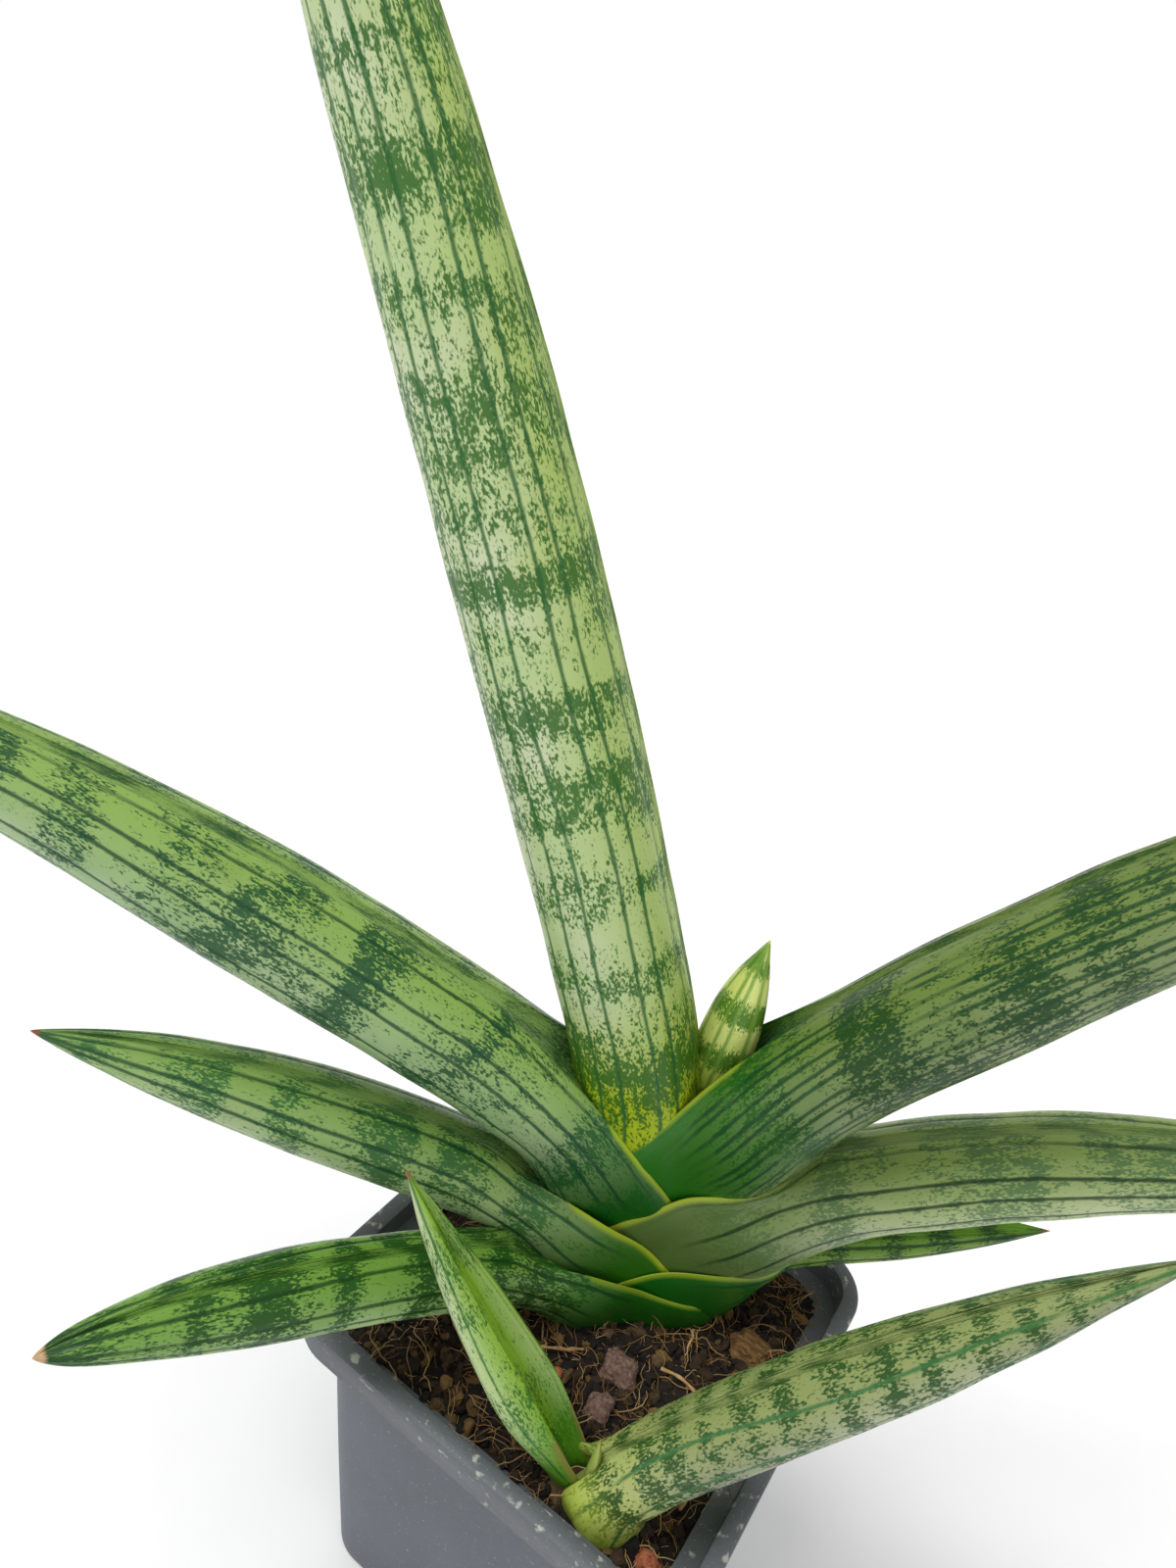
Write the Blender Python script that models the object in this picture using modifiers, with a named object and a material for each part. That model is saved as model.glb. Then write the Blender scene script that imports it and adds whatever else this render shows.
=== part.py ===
"""Snake plant with thick rounded leaves, and its pup, in a square plastic nursery pot.

Metres, +Z up. The origin is the middle of the pot's underside. The pot's sides lie along
X and Y. The fan of old leaves stands behind the middle of the pot and the pup grows in
the corner at +X -Y; a buried rhizome joins the two.
"""

from dataclasses import dataclass
from math import atan2, cos, degrees, pi, radians, sin

import bmesh
import bpy
import numpy as np
from mathutils import Matrix, Vector, noise

# ---------------------------------------------------------------- driving sizes
POT_WIDTH = 0.090  # across the outside of the rim
POT_HEIGHT = 0.087
POT_FOOT = 0.064  # across the underside
RIM_OVERHANG = 0.0060  # collar beyond the wall below it
RIM_LIP = 0.0038  # width of the rim's top edge
COLLAR_HEIGHT = 0.0075
WALL = 0.0015
FLOOR = 0.0020
RIM_CORNER = 0.0115  # corner radius seen from above
DRAIN_HOLE = 0.0070
DRAIN_PITCH = 0.036  # between neighbouring drain holes
SOIL_DROP = 0.0070  # rim down to the soil
SOIL_RELIEF = 0.0016
LEAF_SINK = 0.0080  # depth of the leaf bases under the soil
FAN_ROOM = 0.0160  # from the fan's axis to the pot's wall, less half of the soil's drop
LEAF_SCALE = 1.0  # every leaf length
GIRTH_SCALE = 1.0  # every leaf width and thickness
SHEATH_ARM = 1.6  # thickness of a sheath's arms, in mm
SHEATH_OVAL = 0.30  # sheaths are this much deeper along the fan than across it
FIT_GAP = 0.0003  # clearance between neighbouring pieces
RHIZOME_WIDTH = 0.0180
RHIZOME_SEAT = 0.0020  # how far the leaf bases are let into it
ROOT_WIDTH = 0.0009

# ---------------------------------------------------------------- derived sizes
SOIL_LEVEL = POT_HEIGHT - SOIL_DROP
LEAF_ROOT = SOIL_LEVEL - LEAF_SINK
WALL_TOP = POT_WIDTH / 2 - RIM_OVERHANG
BODY_TOP = POT_HEIGHT - COLLAR_HEIGHT
BODY_SLOPE = (WALL_TOP - POT_FOOT / 2) / BODY_TOP
WALL_CORNER = RIM_CORNER - 0.0025
INNER_CORNER = WALL_CORNER - WALL
SOIL_HALF = WALL_TOP - WALL  # from the middle of the soil to the pot's wall
RIM_REACH = POT_WIDTH * 0.1403148  # over this the lowest right leaf climbs from the soil to the rim
RIM_LEAN = degrees(atan2(RIM_REACH, SOIL_DROP))
FAN_FOOT = Vector((0.0, SOIL_HALF - SOIL_DROP / 2 - FAN_ROOM, LEAF_ROOT))
PUP_FOOT = Vector((SOIL_HALF * 0.516, SOIL_HALF * -0.816, LEAF_ROOT))

LEAF_RINGS = 22
LEAF_ACROSS = 9  # points on each face of a leaf's section, margin to margin


@dataclass
class Leaf:
    """One leaf: millimetres and degrees, arc lengths measured from its buried base."""

    name: str
    foot: Vector
    heading: float  # direction that it leans towards, from +X
    step: float  # its middle line starts this far from the foot, towards the heading
    lean: tuple  # from vertical: at the base, after the bend, at the tip
    bend: tuple  # where the bend starts and ends
    length: float
    width: float
    depth: float  # thickness of the blade
    clasp: float  # radius of the sheath round the younger leaves, at the base
    flare: float  # how much wider that radius is where the sheath starts to open
    wrap: float  # half the angle that the sheath embraces
    sheath: float  # how far up the sheath stays closed
    opening: float  # length over which it opens into the blade
    sheath_wall: float = 2.7
    channel: float = 18.0  # half-angle of the curl left in the blade
    fullest: float = 0.33  # where the taper to the tip starts, along the length
    taper: float = 2.4
    colour: tuple = (0.10, 0.22, 0.08)


LEAVES = [
    Leaf("leaf_young_spear", FAN_FOOT, 250, 0, (0, 0, 0), (10, 30), 95, 12.5, 8.5, 3.2, 0.6,
         50, 30, 30, 3.2, 26, 0.72, 2.2, (0.30, 0.42, 0.14)),
    Leaf("leaf_tall_centre", FAN_FOOT, 206, 0, (8, 24, 30), (10, 90), 320, 27, 25, 5.4, 3.0,
         108, 20, 36, 3.2, colour=(0.28, 0.38, 0.20)),
    Leaf("leaf_upper_right", FAN_FOOT, 8, 0, (-8, 28, 40), (12, 50), 225, 27, 22, 7.2, 4.4,
         130, 40, 54, 3.2, fullest=0.42, colour=(0.13, 0.20, 0.11)),
    Leaf("leaf_upper_left", FAN_FOOT, 214, 0, (10, 59, 72), (12, 64), 235, 27, 23, 8.8, 4.6,
         124, 31, 38, 3.2, fullest=0.38, colour=(0.12, 0.24, 0.09)),
    Leaf("leaf_middle_right", FAN_FOOT, 19, 4.0, (8, 46, 77), (8, 40), 165, 23, 18, 10.4, 4.6,
         140, 20, 48, 3.0, fullest=0.40, colour=(0.13, 0.21, 0.10)),
    Leaf("leaf_middle_left", FAN_FOOT, 222, 6.0, (18, 63, 75), (4, 36), 137, 20, 16, 12.0, 3.8,
         120, 18, 28, 3.2, fullest=0.45, taper=2.2, colour=(0.12, 0.25, 0.08)),
    Leaf("leaf_low_right", FAN_FOOT, 31, 9.0, (16, RIM_LEAN, 70), (2, 30), 87, 13, 9.4, 13.0, 2.0,
         112, 12, 24, 3.4, fullest=0.45, colour=(0.10, 0.19, 0.06)),
    Leaf("leaf_low_left", FAN_FOOT, 245, 9.0, (34, 61, 86), (2, 26), 122, 15.5, 13, 15.0, 2.4,
         84, 9, 24, 3.8, fullest=0.50, taper=3.0, colour=(0.07, 0.22, 0.04)),
]
PUP_LEAVES = [
    Leaf("pup_spear", PUP_FOOT, 200, 0, (0, 4, 6), (2, 12), 24, 4.2, 3.2, 1.6, 0.2,
         30, 6, 8, 1.6, 20, 0.35, 1.8, (0.45, 0.48, 0.20)),
    Leaf("pup_leaf_left", PUP_FOOT, 192, 0, (14, 43, 36), (0, 24), 79, 15.0, 5.4, 3.6, 1.0,
         95, 11, 16, 2.8, 52, 0.35, 1.9, (0.14, 0.30, 0.07)),
    Leaf("pup_leaf_right", PUP_FOOT, 24, 0, (17, 33, 39), (0, 39), 123, 15.0, 13, 5.6, 0.6,
         86, 5, 14, 5.0, 20, 0.40, 2.1, (0.22, 0.34, 0.14)),
]

# name, centre on the soil (x, y), lengths of its three axes, turn, colour
CHIPS = [
    ("pumice_by_fan", (0.012, -0.0085), (0.0085, 0.0065, 0.0060), 25, (0.30, 0.20, 0.18)),
    ("pumice_middle", (0.013, -0.0175), (0.0070, 0.0058, 0.0055), 80, (0.26, 0.17, 0.15)),
    ("bark_chip_right", (SOIL_HALF - 0.0075, 0.014), (0.0120, 0.0065, 0.0040), 40, (0.24, 0.14, 0.06)),
    ("bark_chip_by_rim", (SOIL_HALF - 0.0050, 0.003), (0.0100, 0.0060, 0.0040), 110, (0.20, 0.12, 0.05)),
    ("bark_chip_left", (-0.022, -0.012), (0.0110, 0.0052, 0.0036), 70, (0.16, 0.09, 0.05)),
    ("brick_bit_front", (SOIL_HALF - 0.0040, 0.0040 - SOIL_HALF), (0.0052, 0.0044, 0.0038), 15,
     (0.42, 0.16, 0.09)),
    ("brick_bit_middle", (0.002, -0.018), (0.0046, 0.0040, 0.0036), 60, (0.38, 0.15, 0.09)),
]

# name, points (x, y, height over the soil)
LOOSE_ROOTS = [
    ("loose_root_by_pup", ((0.034, -0.022, 0.2), (0.0345, -0.016, 1.2), (0.033, -0.010, 2.0),
                           (0.029, -0.004, 1.6), (0.023, -0.001, 0.6), (0.018, -0.002, 0.2))),
    ("loose_root_left", ((-0.028, -0.003, 0.2), (-0.027, -0.012, 1.4), (-0.022, -0.021, 1.8),
                         (-0.014, -0.026, 1.2), (-0.006, -0.028, 0.2))),
    ("loose_root_middle", ((0.004, -0.009, 0.3), (-0.001, -0.014, 1.5), (-0.006, -0.0185, 1.8),
                           (-0.010, -0.021, 0.8), (-0.013, -0.0225, 0.2))),
]


def clear_scene():
    for obj in list(bpy.data.objects):
        bpy.data.objects.remove(obj, do_unlink=True)


def new_collection(name, hidden=False):
    collection = bpy.data.collections.new(name)
    bpy.context.scene.collection.children.link(collection)
    collection.hide_render = hidden
    return collection


def material(name, colour, roughness, metallic=0.0):
    made = bpy.data.materials.new(name)
    made.use_nodes = True
    shader = made.node_tree.nodes["Principled BSDF"]
    shader.inputs["Base Color"].default_value = (*colour, 1.0)
    shader.inputs["Roughness"].default_value = roughness
    shader.inputs["Metallic"].default_value = metallic
    return made


def add_object(name, bm, collection, finish=None, smooth=False):
    """Stores a bmesh as an object; a cutter goes in the cutters' collection and has no finish."""
    mesh = bpy.data.meshes.new(name)
    bm.to_mesh(mesh)
    bm.free()
    if smooth:
        mesh.polygons.foreach_set("use_smooth", [True] * len(mesh.polygons))
    obj = bpy.data.objects.new(name, mesh)
    collection.objects.link(obj)
    if finish is None:
        obj.hide_render = True
        obj.display_type = "WIRE"
    else:
        mesh.materials.append(finish)
    return obj


def boolean(target, other, operation):
    modifier = target.modifiers.new(f"{operation.lower()} {other.name}", "BOOLEAN")
    modifier.operation = operation
    modifier.solver = "EXACT"
    modifier.object = other


def settle(obj):
    """Applies the object's modifiers and keeps the largest closed body of the result."""
    graph = bpy.context.evaluated_depsgraph_get()
    done = bpy.data.meshes.new_from_object(obj.evaluated_get(graph))
    obj.modifiers.clear()
    bm = bmesh.new()
    bm.from_mesh(done)
    bmesh.ops.remove_doubles(bm, verts=bm.verts, dist=2e-6)
    bmesh.ops.dissolve_degenerate(bm, dist=2e-6, edges=bm.edges)
    left = set(bm.faces)
    bodies = []
    while left:
        stack = [left.pop()]
        body = []
        while stack:
            face = stack.pop()
            body.append(face)
            for edge in face.edges:
                for other in edge.link_faces:
                    if other in left:
                        left.discard(other)
                        stack.append(other)
        bodies.append(body)
    bodies.sort(key=lambda faces: sum(face.calc_area() for face in faces))
    for body in bodies[:-1]:
        bmesh.ops.delete(bm, geom=body, context="FACES")
    loose = [vert for vert in bm.verts if not vert.link_faces]
    bmesh.ops.delete(bm, geom=loose, context="VERTS")
    bm.to_mesh(done)
    bm.free()
    obj.data = done


# ---------------------------------------------------------------- pot
def tapered_block(name, low, high, z_low, z_high, corner, collection, finish=None):
    """A square block from half-width low to high, with rounded upright edges."""
    bm = bmesh.new()
    bmesh.ops.create_cube(bm, size=2.0)
    weight = bm.edges.layers.float.new("bevel_weight_edge")
    for vert in bm.verts:
        half = high if vert.co.z > 0 else low
        vert.co = Vector((vert.co.x * half, vert.co.y * half, z_high if vert.co.z > 0 else z_low))
    for edge in bm.edges:
        first, second = edge.verts
        if abs(first.co.z - second.co.z) > 0.5 * (z_high - z_low):
            edge[weight] = 1.0
    block = add_object(name, bm, collection, finish)
    bevel = block.modifiers.new("upright corners", "BEVEL")
    bevel.limit_method = "WEIGHT"
    bevel.width = corner
    bevel.segments = 5
    return block


def wall_half(z):
    return POT_FOOT / 2 + BODY_SLOPE * z


def build_pot(shown, cutters):
    plastic = material("pot_moulded_plastic", (0.075, 0.080, 0.088), 0.48)
    pot = tapered_block("pot", POT_FOOT / 2, wall_half(BODY_TOP + 0.001), 0.0, BODY_TOP + 0.001,
                        WALL_CORNER, shown, plastic)
    rim = POT_WIDTH / 2
    collar = tapered_block("collar", rim - 0.0008, rim, BODY_TOP, POT_HEIGHT, RIM_CORNER, cutters)
    over = POT_HEIGHT + 0.01
    hollow = tapered_block("hollow", wall_half(FLOOR) - WALL, wall_half(over) - WALL, FLOOR, over,
                           INNER_CORNER, cutters)
    mouth_half = rim - RIM_LIP
    mouth = tapered_block("mouth", mouth_half, mouth_half, BODY_TOP + WALL, over,
                          RIM_CORNER - RIM_LIP, cutters)
    boolean(pot, collar, "UNION")
    boolean(pot, hollow, "DIFFERENCE")
    boolean(pot, mouth, "DIFFERENCE")
    drains = bmesh.new()
    for x in (-DRAIN_PITCH / 2, DRAIN_PITCH / 2):
        for y in (-DRAIN_PITCH / 2, DRAIN_PITCH / 2):
            bmesh.ops.create_cone(drains, cap_ends=True, segments=14, radius1=DRAIN_HOLE / 2,
                                  radius2=DRAIN_HOLE / 2, depth=4 * FLOOR,
                                  matrix=Matrix.Translation((x, y, FLOOR / 2)))
    boolean(pot, add_object("drain_holes", drains, cutters), "DIFFERENCE")
    return pot


# ---------------------------------------------------------------- leaves
def smooth_step(x):
    x = np.clip(x, 0.0, 1.0)
    return x * x * (3 - 2 * x)


def blade_profile(leaf, s):
    """Share of the full girth at arc length s, falling to nothing at the tip."""
    t = s / leaf.length
    x = np.clip((t - leaf.fullest) / (1 - leaf.fullest), 0.0, 1.0)
    return 1 - x ** leaf.taper


def leaf_axis(leaf, stations):
    """Points and leans of the leaf's middle line at the stations (mm)."""
    fine = np.linspace(0.0, leaf.length, 400)
    at_base, at_bend, at_tip = (radians(a) for a in leaf.lean)
    start, end = leaf.bend
    turn = smooth_step((fine - start) / (end - start))
    onward = np.clip((fine - end) / (leaf.length - end), 0.0, 1.0)
    lean = at_base + (at_bend - at_base) * turn + (at_tip - at_bend) * onward
    step = fine[1]
    out = np.concatenate([[0.0], np.cumsum(np.sin((lean[1:] + lean[:-1]) / 2) * step)])
    rise = np.concatenate([[0.0], np.cumsum(np.cos((lean[1:] + lean[:-1]) / 2) * step)])
    return (np.interp(stations, fine, out), np.interp(stations, fine, rise),
            np.interp(stations, fine, lean))


def leaf_section(leaf, s):
    """Closed loop of the section at arc length s, as (across, towards the inner face) in mm."""
    open_up = smooth_step((s - leaf.sheath) / leaf.opening)
    fill_from = 0.6 * leaf.sheath
    fill_up = smooth_step((s - fill_from) / (leaf.sheath + leaf.opening - fill_from))
    clasp = leaf.clasp + leaf.flare * smooth_step(s / leaf.sheath)
    girth = blade_profile(leaf, s) * GIRTH_SCALE
    wrap = radians(leaf.wrap) * (1 - open_up) + radians(leaf.channel) * open_up
    half = clasp * radians(leaf.wrap) * (1 - open_up) + leaf.width / 2 * girth * open_up
    wall = leaf.sheath_wall * (1 - fill_up) + leaf.depth * girth * fill_up
    radius = half / wrap
    oval = 1 + SHEATH_OVAL * (1 - open_up)
    v = -np.cos(np.linspace(0.0, pi, LEAF_ACROSS))
    angle = v * wrap
    round_off = np.sqrt(np.clip(1 - v * v, 0.0, 1.0))
    arms = np.minimum(wall, SHEATH_ARM) * round_off
    thick = arms + (wall - np.minimum(wall, SHEATH_ARM)) * round_off ** (1 + 4 * (1 - open_up))
    across = radius * np.sin(angle)
    inward = oval * radius * (open_up - np.cos(angle)) + leaf.step * (1 - open_up)
    slope = np.stack([np.sin(angle) * oval, -np.cos(angle)], 1)
    slope /= np.linalg.norm(slope, axis=1, keepdims=True)
    middle = np.stack([across, inward], 1)
    outer = middle + slope * thick[:, None] / 2
    inner = middle - slope * thick[:, None] / 2
    return np.concatenate([outer, inner[-2:0:-1]])


def leaf_bmesh(leaf, grow=0.0):
    """The leaf as a loft of its sections, closed by a strip at the base and a fan at the tip."""
    share = np.linspace(0.0, 1.0, LEAF_RINGS + 1)[:-1]
    stations = leaf.length * (0.5 * share + 0.5 * share ** 2)
    out, rise, lean = leaf_axis(leaf, np.append(stations, leaf.length))
    ahead = Vector((cos(radians(leaf.heading)), sin(radians(leaf.heading)), 0.0))
    aside = Vector((ahead.y, -ahead.x, 0.0))
    foot = leaf.foot + ahead * leaf.step * 0.001
    bm = bmesh.new()
    rings = []
    for i, s in enumerate(stations):
        centre = ahead * float(out[i]) + Vector((0, 0, float(rise[i])))
        inner_way = -ahead * cos(lean[i]) + Vector((0, 0, sin(lean[i])))
        ring = []
        for a, n in leaf_section(leaf, s):
            point = centre + aside * float(a) + inner_way * float(n)
            ring.append(bm.verts.new(foot + point * 0.001))
        rings.append(ring)
    tip = ahead * float(out[-1]) + Vector((0, 0, float(rise[-1])))
    tip = bm.verts.new(foot + tip * 0.001)
    count = len(rings[0])
    for low, high in zip(rings, rings[1:]):
        for k in range(count):
            j = (k + 1) % count
            bm.faces.new((low[k], low[j], high[j], high[k]))
    for k in range(count):
        bm.faces.new((rings[-1][k], rings[-1][(k + 1) % count], tip))
    first = rings[0]
    for k in range(LEAF_ACROSS - 1):
        corners = (first[k], first[-k], first[-k - 1], first[k + 1])
        bm.faces.new(list(dict.fromkeys(corners)))
    bmesh.ops.triangulate(bm, faces=bm.faces)
    bmesh.ops.recalc_face_normals(bm, faces=bm.faces)
    if grow:
        swell(bm, grow)
    return bm


def swell(bm, grow):
    """Moves every vertex out along its normal."""
    bm.normal_update()
    moves = [vert.normal * grow for vert in bm.verts]
    for vert, move in zip(bm.verts, moves):
        vert.co += move


def scaled(leaf):
    leaf.length *= LEAF_SCALE
    leaf.bend = tuple(LEAF_SCALE * end for end in leaf.bend)
    return leaf


def build_leaves(leaves, shown, cutters):
    """Builds the leaves youngest first; each older one is cut clear of those that it clasps."""
    grown = []
    for leaf in map(scaled, leaves):
        finish = material(f"{leaf.name}_skin", leaf.colour, 0.42)
        obj = add_object(leaf.name, leaf_bmesh(leaf), shown, finish, smooth=True)
        for cutter in grown:
            boolean(obj, cutter, "DIFFERENCE")
        grown.append(add_object(f"{leaf.name}_clearance", leaf_bmesh(leaf, FIT_GAP), cutters))
    for leaf in leaves:
        settle(bpy.data.objects[leaf.name])
    return grown


# ---------------------------------------------------------------- soil and what lies in it
def soil_height(x, y):
    """Height of the uneven soil surface."""
    coarse = noise.noise(Vector((x * 55, y * 55, 2.7)))
    fine = noise.noise(Vector((x * 130, y * 130, 9.1)))
    return SOIL_LEVEL + SOIL_RELIEF * (coarse + 0.5 * fine)


def rhizome_bmesh(grow=0.0):
    """A stout rhizome from under the fan to under the pup, as a bevelled curve with caps."""
    path = bpy.data.curves.new("rhizome_path", "CURVE")
    path.dimensions = "3D"
    path.bevel_depth = RHIZOME_WIDTH / 2 + grow
    path.bevel_resolution = 2
    path.use_fill_caps = True
    spline = path.splines.new("POLY")
    sink = RHIZOME_WIDTH / 2 - RHIZOME_SEAT
    start = FAN_FOOT + Vector((-0.006, 0.009, -sink))
    end = PUP_FOOT + Vector((0.001, -0.002, 0.002 - sink))
    steps = 7
    spline.points.add(steps)
    for i in range(steps + 1):
        t = i / steps
        t = t + grow / 0.06 * (2 * t - 1)
        spot = start.lerp(end, t) + Vector((0.006 * sin(pi * t), 0.0, -0.008 * sin(pi * t)))
        spline.points[i].co = (*spot, 1.0)
        spline.points[i].radius = 1.0 - 0.35 * t
    holder = bpy.data.objects.new("rhizome_path", path)
    bpy.context.scene.collection.objects.link(holder)
    graph = bpy.context.evaluated_depsgraph_get()
    mesh = bpy.data.meshes.new_from_object(holder.evaluated_get(graph))
    bm = bmesh.new()
    bm.from_mesh(mesh)
    bmesh.ops.remove_doubles(bm, verts=bm.verts, dist=1e-6)
    bmesh.ops.recalc_face_normals(bm, faces=bm.faces)
    bpy.data.objects.remove(holder, do_unlink=True)
    bpy.data.curves.remove(path)
    return bm


def chip_bmesh(spot, lengths, turn, grow=0.0):
    """A rough lump: an icosphere pushed about by noise, a third of it under the soil."""
    bm = bmesh.new()
    bmesh.ops.create_icosphere(bm, subdivisions=2, radius=0.5)
    place = Vector((*spot, soil_height(*spot) + lengths[2] * 0.18))
    spin = Matrix.Rotation(radians(turn), 3, "Z") @ Matrix.Rotation(0.25, 3, "X")
    for vert in bm.verts:
        bump = 1 + 0.22 * noise.noise(vert.co * 3.1 + Vector((spot[0] * 900, spot[1] * 700, 0)))
        shape = Vector([c * bump * size for c, size in zip(vert.co, lengths)])
        vert.co = place + spin @ shape
    if grow:
        swell(bm, grow)
    return bm


def build_soil(shown, cutters, leaf_clearances):
    finish = material("soil_coco_peat", (0.035, 0.018, 0.010), 0.95)
    low = FLOOR + FIT_GAP
    high = SOIL_LEVEL + 3 * SOIL_RELIEF
    low_half = wall_half(low) - WALL - FIT_GAP
    high_half = wall_half(high) - WALL - FIT_GAP
    soil = tapered_block("soil", low_half, high_half, low, high, INNER_CORNER - FIT_GAP, shown, finish)
    slab = bmesh.new()
    bmesh.ops.create_grid(slab, x_segments=18, y_segments=18, size=POT_WIDTH * 0.6)
    for vert in slab.verts:
        vert.co.z = soil_height(vert.co.x, vert.co.y)
    above = add_object("over_soil", slab, cutters)
    lift = above.modifiers.new("air over the soil", "SOLIDIFY")
    lift.thickness = 0.02
    lift.offset = 1.0
    boolean(soil, above, "DIFFERENCE")
    for cutter in leaf_clearances:
        boolean(soil, cutter, "DIFFERENCE")
    boolean(soil, add_object("rhizome_clearance", rhizome_bmesh(FIT_GAP), cutters), "DIFFERENCE")
    for name, spot, lengths, turn, colour in CHIPS:
        finish = material(f"{name}_surface", colour, 0.9)
        add_object(name, chip_bmesh(spot, lengths, turn), shown, finish)
        grown = add_object(f"{name}_clearance", chip_bmesh(spot, lengths, turn, FIT_GAP), cutters)
        boolean(soil, grown, "DIFFERENCE")
    settle(soil)
    return soil


def build_rhizome(shown, leaf_clearances):
    finish = material("rhizome_skin", (0.45, 0.24, 0.10), 0.7)
    rhizome = add_object("rhizome", rhizome_bmesh(), shown, finish, smooth=True)
    for cutter in leaf_clearances:
        boolean(rhizome, cutter, "DIFFERENCE")
    settle(rhizome)
    return rhizome


def build_loose_roots(shown):
    finish = material("loose_root_fibre", (0.36, 0.22, 0.10), 0.8)
    for name, points in LOOSE_ROOTS:
        strand = bpy.data.curves.new(name, "CURVE")
        strand.dimensions = "3D"
        strand.bevel_depth = ROOT_WIDTH / 2
        strand.bevel_resolution = 1
        strand.use_fill_caps = True
        spline = strand.splines.new("POLY")
        spline.points.add(len(points) - 1)
        for point, (x, y, over) in zip(spline.points, points):
            z = soil_height(x, y) + ROOT_WIDTH / 2 + FIT_GAP + 0.0004 + over * 0.001
            point.co = (x, y, z, 1.0)
        strand.materials.append(finish)
        shown.objects.link(bpy.data.objects.new(name, strand))


def main():
    clear_scene()
    shown = new_collection("potted_snake_plant")
    cutters = new_collection("cutters", hidden=True)
    build_pot(shown, cutters)
    fan = build_leaves(LEAVES, shown, cutters)
    pup = build_leaves(PUP_LEAVES, shown, cutters)
    build_rhizome(shown, fan + pup)
    build_soil(shown, cutters, fan + pup)
    build_loose_roots(shown)


main()
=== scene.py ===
"""Snake plant with thick rounded leaves and a young pup, in a square plastic nursery pot.

Every size in the classes is in millimetres unless its name says otherwise; meshes are in metres.
"""

import logging
import math
from collections.abc import Sequence
from dataclasses import dataclass
from enum import Enum

import bmesh
import bpy
import numpy as np
from mathutils import Matrix, Vector, noise
from mathutils.bvhtree import BVHTree

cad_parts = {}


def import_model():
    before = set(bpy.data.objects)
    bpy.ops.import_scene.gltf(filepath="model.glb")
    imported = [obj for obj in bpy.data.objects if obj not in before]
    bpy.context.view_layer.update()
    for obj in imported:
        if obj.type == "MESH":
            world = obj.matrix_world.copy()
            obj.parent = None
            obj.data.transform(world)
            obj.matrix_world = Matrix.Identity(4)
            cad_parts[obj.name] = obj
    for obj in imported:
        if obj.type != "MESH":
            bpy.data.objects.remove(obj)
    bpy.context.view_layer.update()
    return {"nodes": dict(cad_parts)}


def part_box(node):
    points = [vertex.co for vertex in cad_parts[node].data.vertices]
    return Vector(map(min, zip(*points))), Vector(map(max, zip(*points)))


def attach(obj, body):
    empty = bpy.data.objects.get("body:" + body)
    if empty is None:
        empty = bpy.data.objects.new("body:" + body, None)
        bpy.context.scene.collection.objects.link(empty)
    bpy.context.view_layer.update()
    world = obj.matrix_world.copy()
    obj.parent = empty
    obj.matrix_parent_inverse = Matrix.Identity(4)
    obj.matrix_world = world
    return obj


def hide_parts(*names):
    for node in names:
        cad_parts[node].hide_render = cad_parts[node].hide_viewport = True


log = logging.getLogger("snake_plant")
MM = 0.001
BODY = "root"
SOIL_TOP = 80.0
FAN_FOOT = (0.0, 18.0, 72.0)
PUP_FOOT = (19.35, -30.6, 72.0)
VEIN_JITTER = 0.16  # how far a vein strays from the middle of its lane, in lanes
VEIN_TURN = 2.4  # turns each lane's number into a stray that looks random
CLASP_GAP = 0.25  # between a sheath and the leaf that it clasps
ARM_WALL = 1.6  # thickness of a sheath's arms, and of a blade's edge
MATH = "ShaderNodeMath"
SPAN = "ShaderNodeMapRange"
NOISE = "ShaderNodeTexNoise"
MAPPING = "ShaderNodeMapping"
VECTOR = "ShaderNodeVectorMath"
ATTRIBUTE = "ShaderNodeAttribute"


# ---------------------------------------------------------------- small helpers
def linear(code: str) -> tuple[float, float, float, float]:
    """Turns an sRGB hex colour into linear RGBA.

    Args:
        code: six hex digits with a leading hash.

    Returns:
        The linear colour with alpha 1.
    """
    parts = [int(code[i : i + 2], 16) / 255 for i in (1, 3, 5)]
    made = [c / 12.92 if c <= 0.04045 else ((c + 0.055) / 1.055) ** 2.4 for c in parts]
    return (*made, 1.0)


def smooth_step(x: np.ndarray | float) -> np.ndarray:
    """Returns the eased share of x, clamped to 0 and 1."""
    x = np.clip(x, 0.0, 1.0)
    return x * x * (3 - 2 * x)


def add_node(
    tree: bpy.types.NodeTree, kind: str, inputs: dict | None = None, **settings: object
) -> Sequence:
    """Adds a node with its settings, and links or fills its inputs.

    Args:
        tree: the material's or modifier's node tree.
        kind: the node's type name.
        inputs: socket name or index to a value, or to an output socket to link.
        settings: the node's own properties.

    Returns:
        The new node's output sockets.
    """
    node = tree.nodes.new(kind)
    for name, value in settings.items():
        setattr(node, name, value)
    for key, value in (inputs or {}).items():
        if isinstance(value, bpy.types.NodeSocket):
            tree.links.new(value, node.inputs[key])
        else:
            node.inputs[key].default_value = value
    return node.outputs


def new_material(name: str) -> bpy.types.Material:
    """Makes a material whose node tree is empty."""
    made = bpy.data.materials.new(name)
    made.use_nodes = True
    made.node_tree.nodes.clear()
    return made


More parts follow.
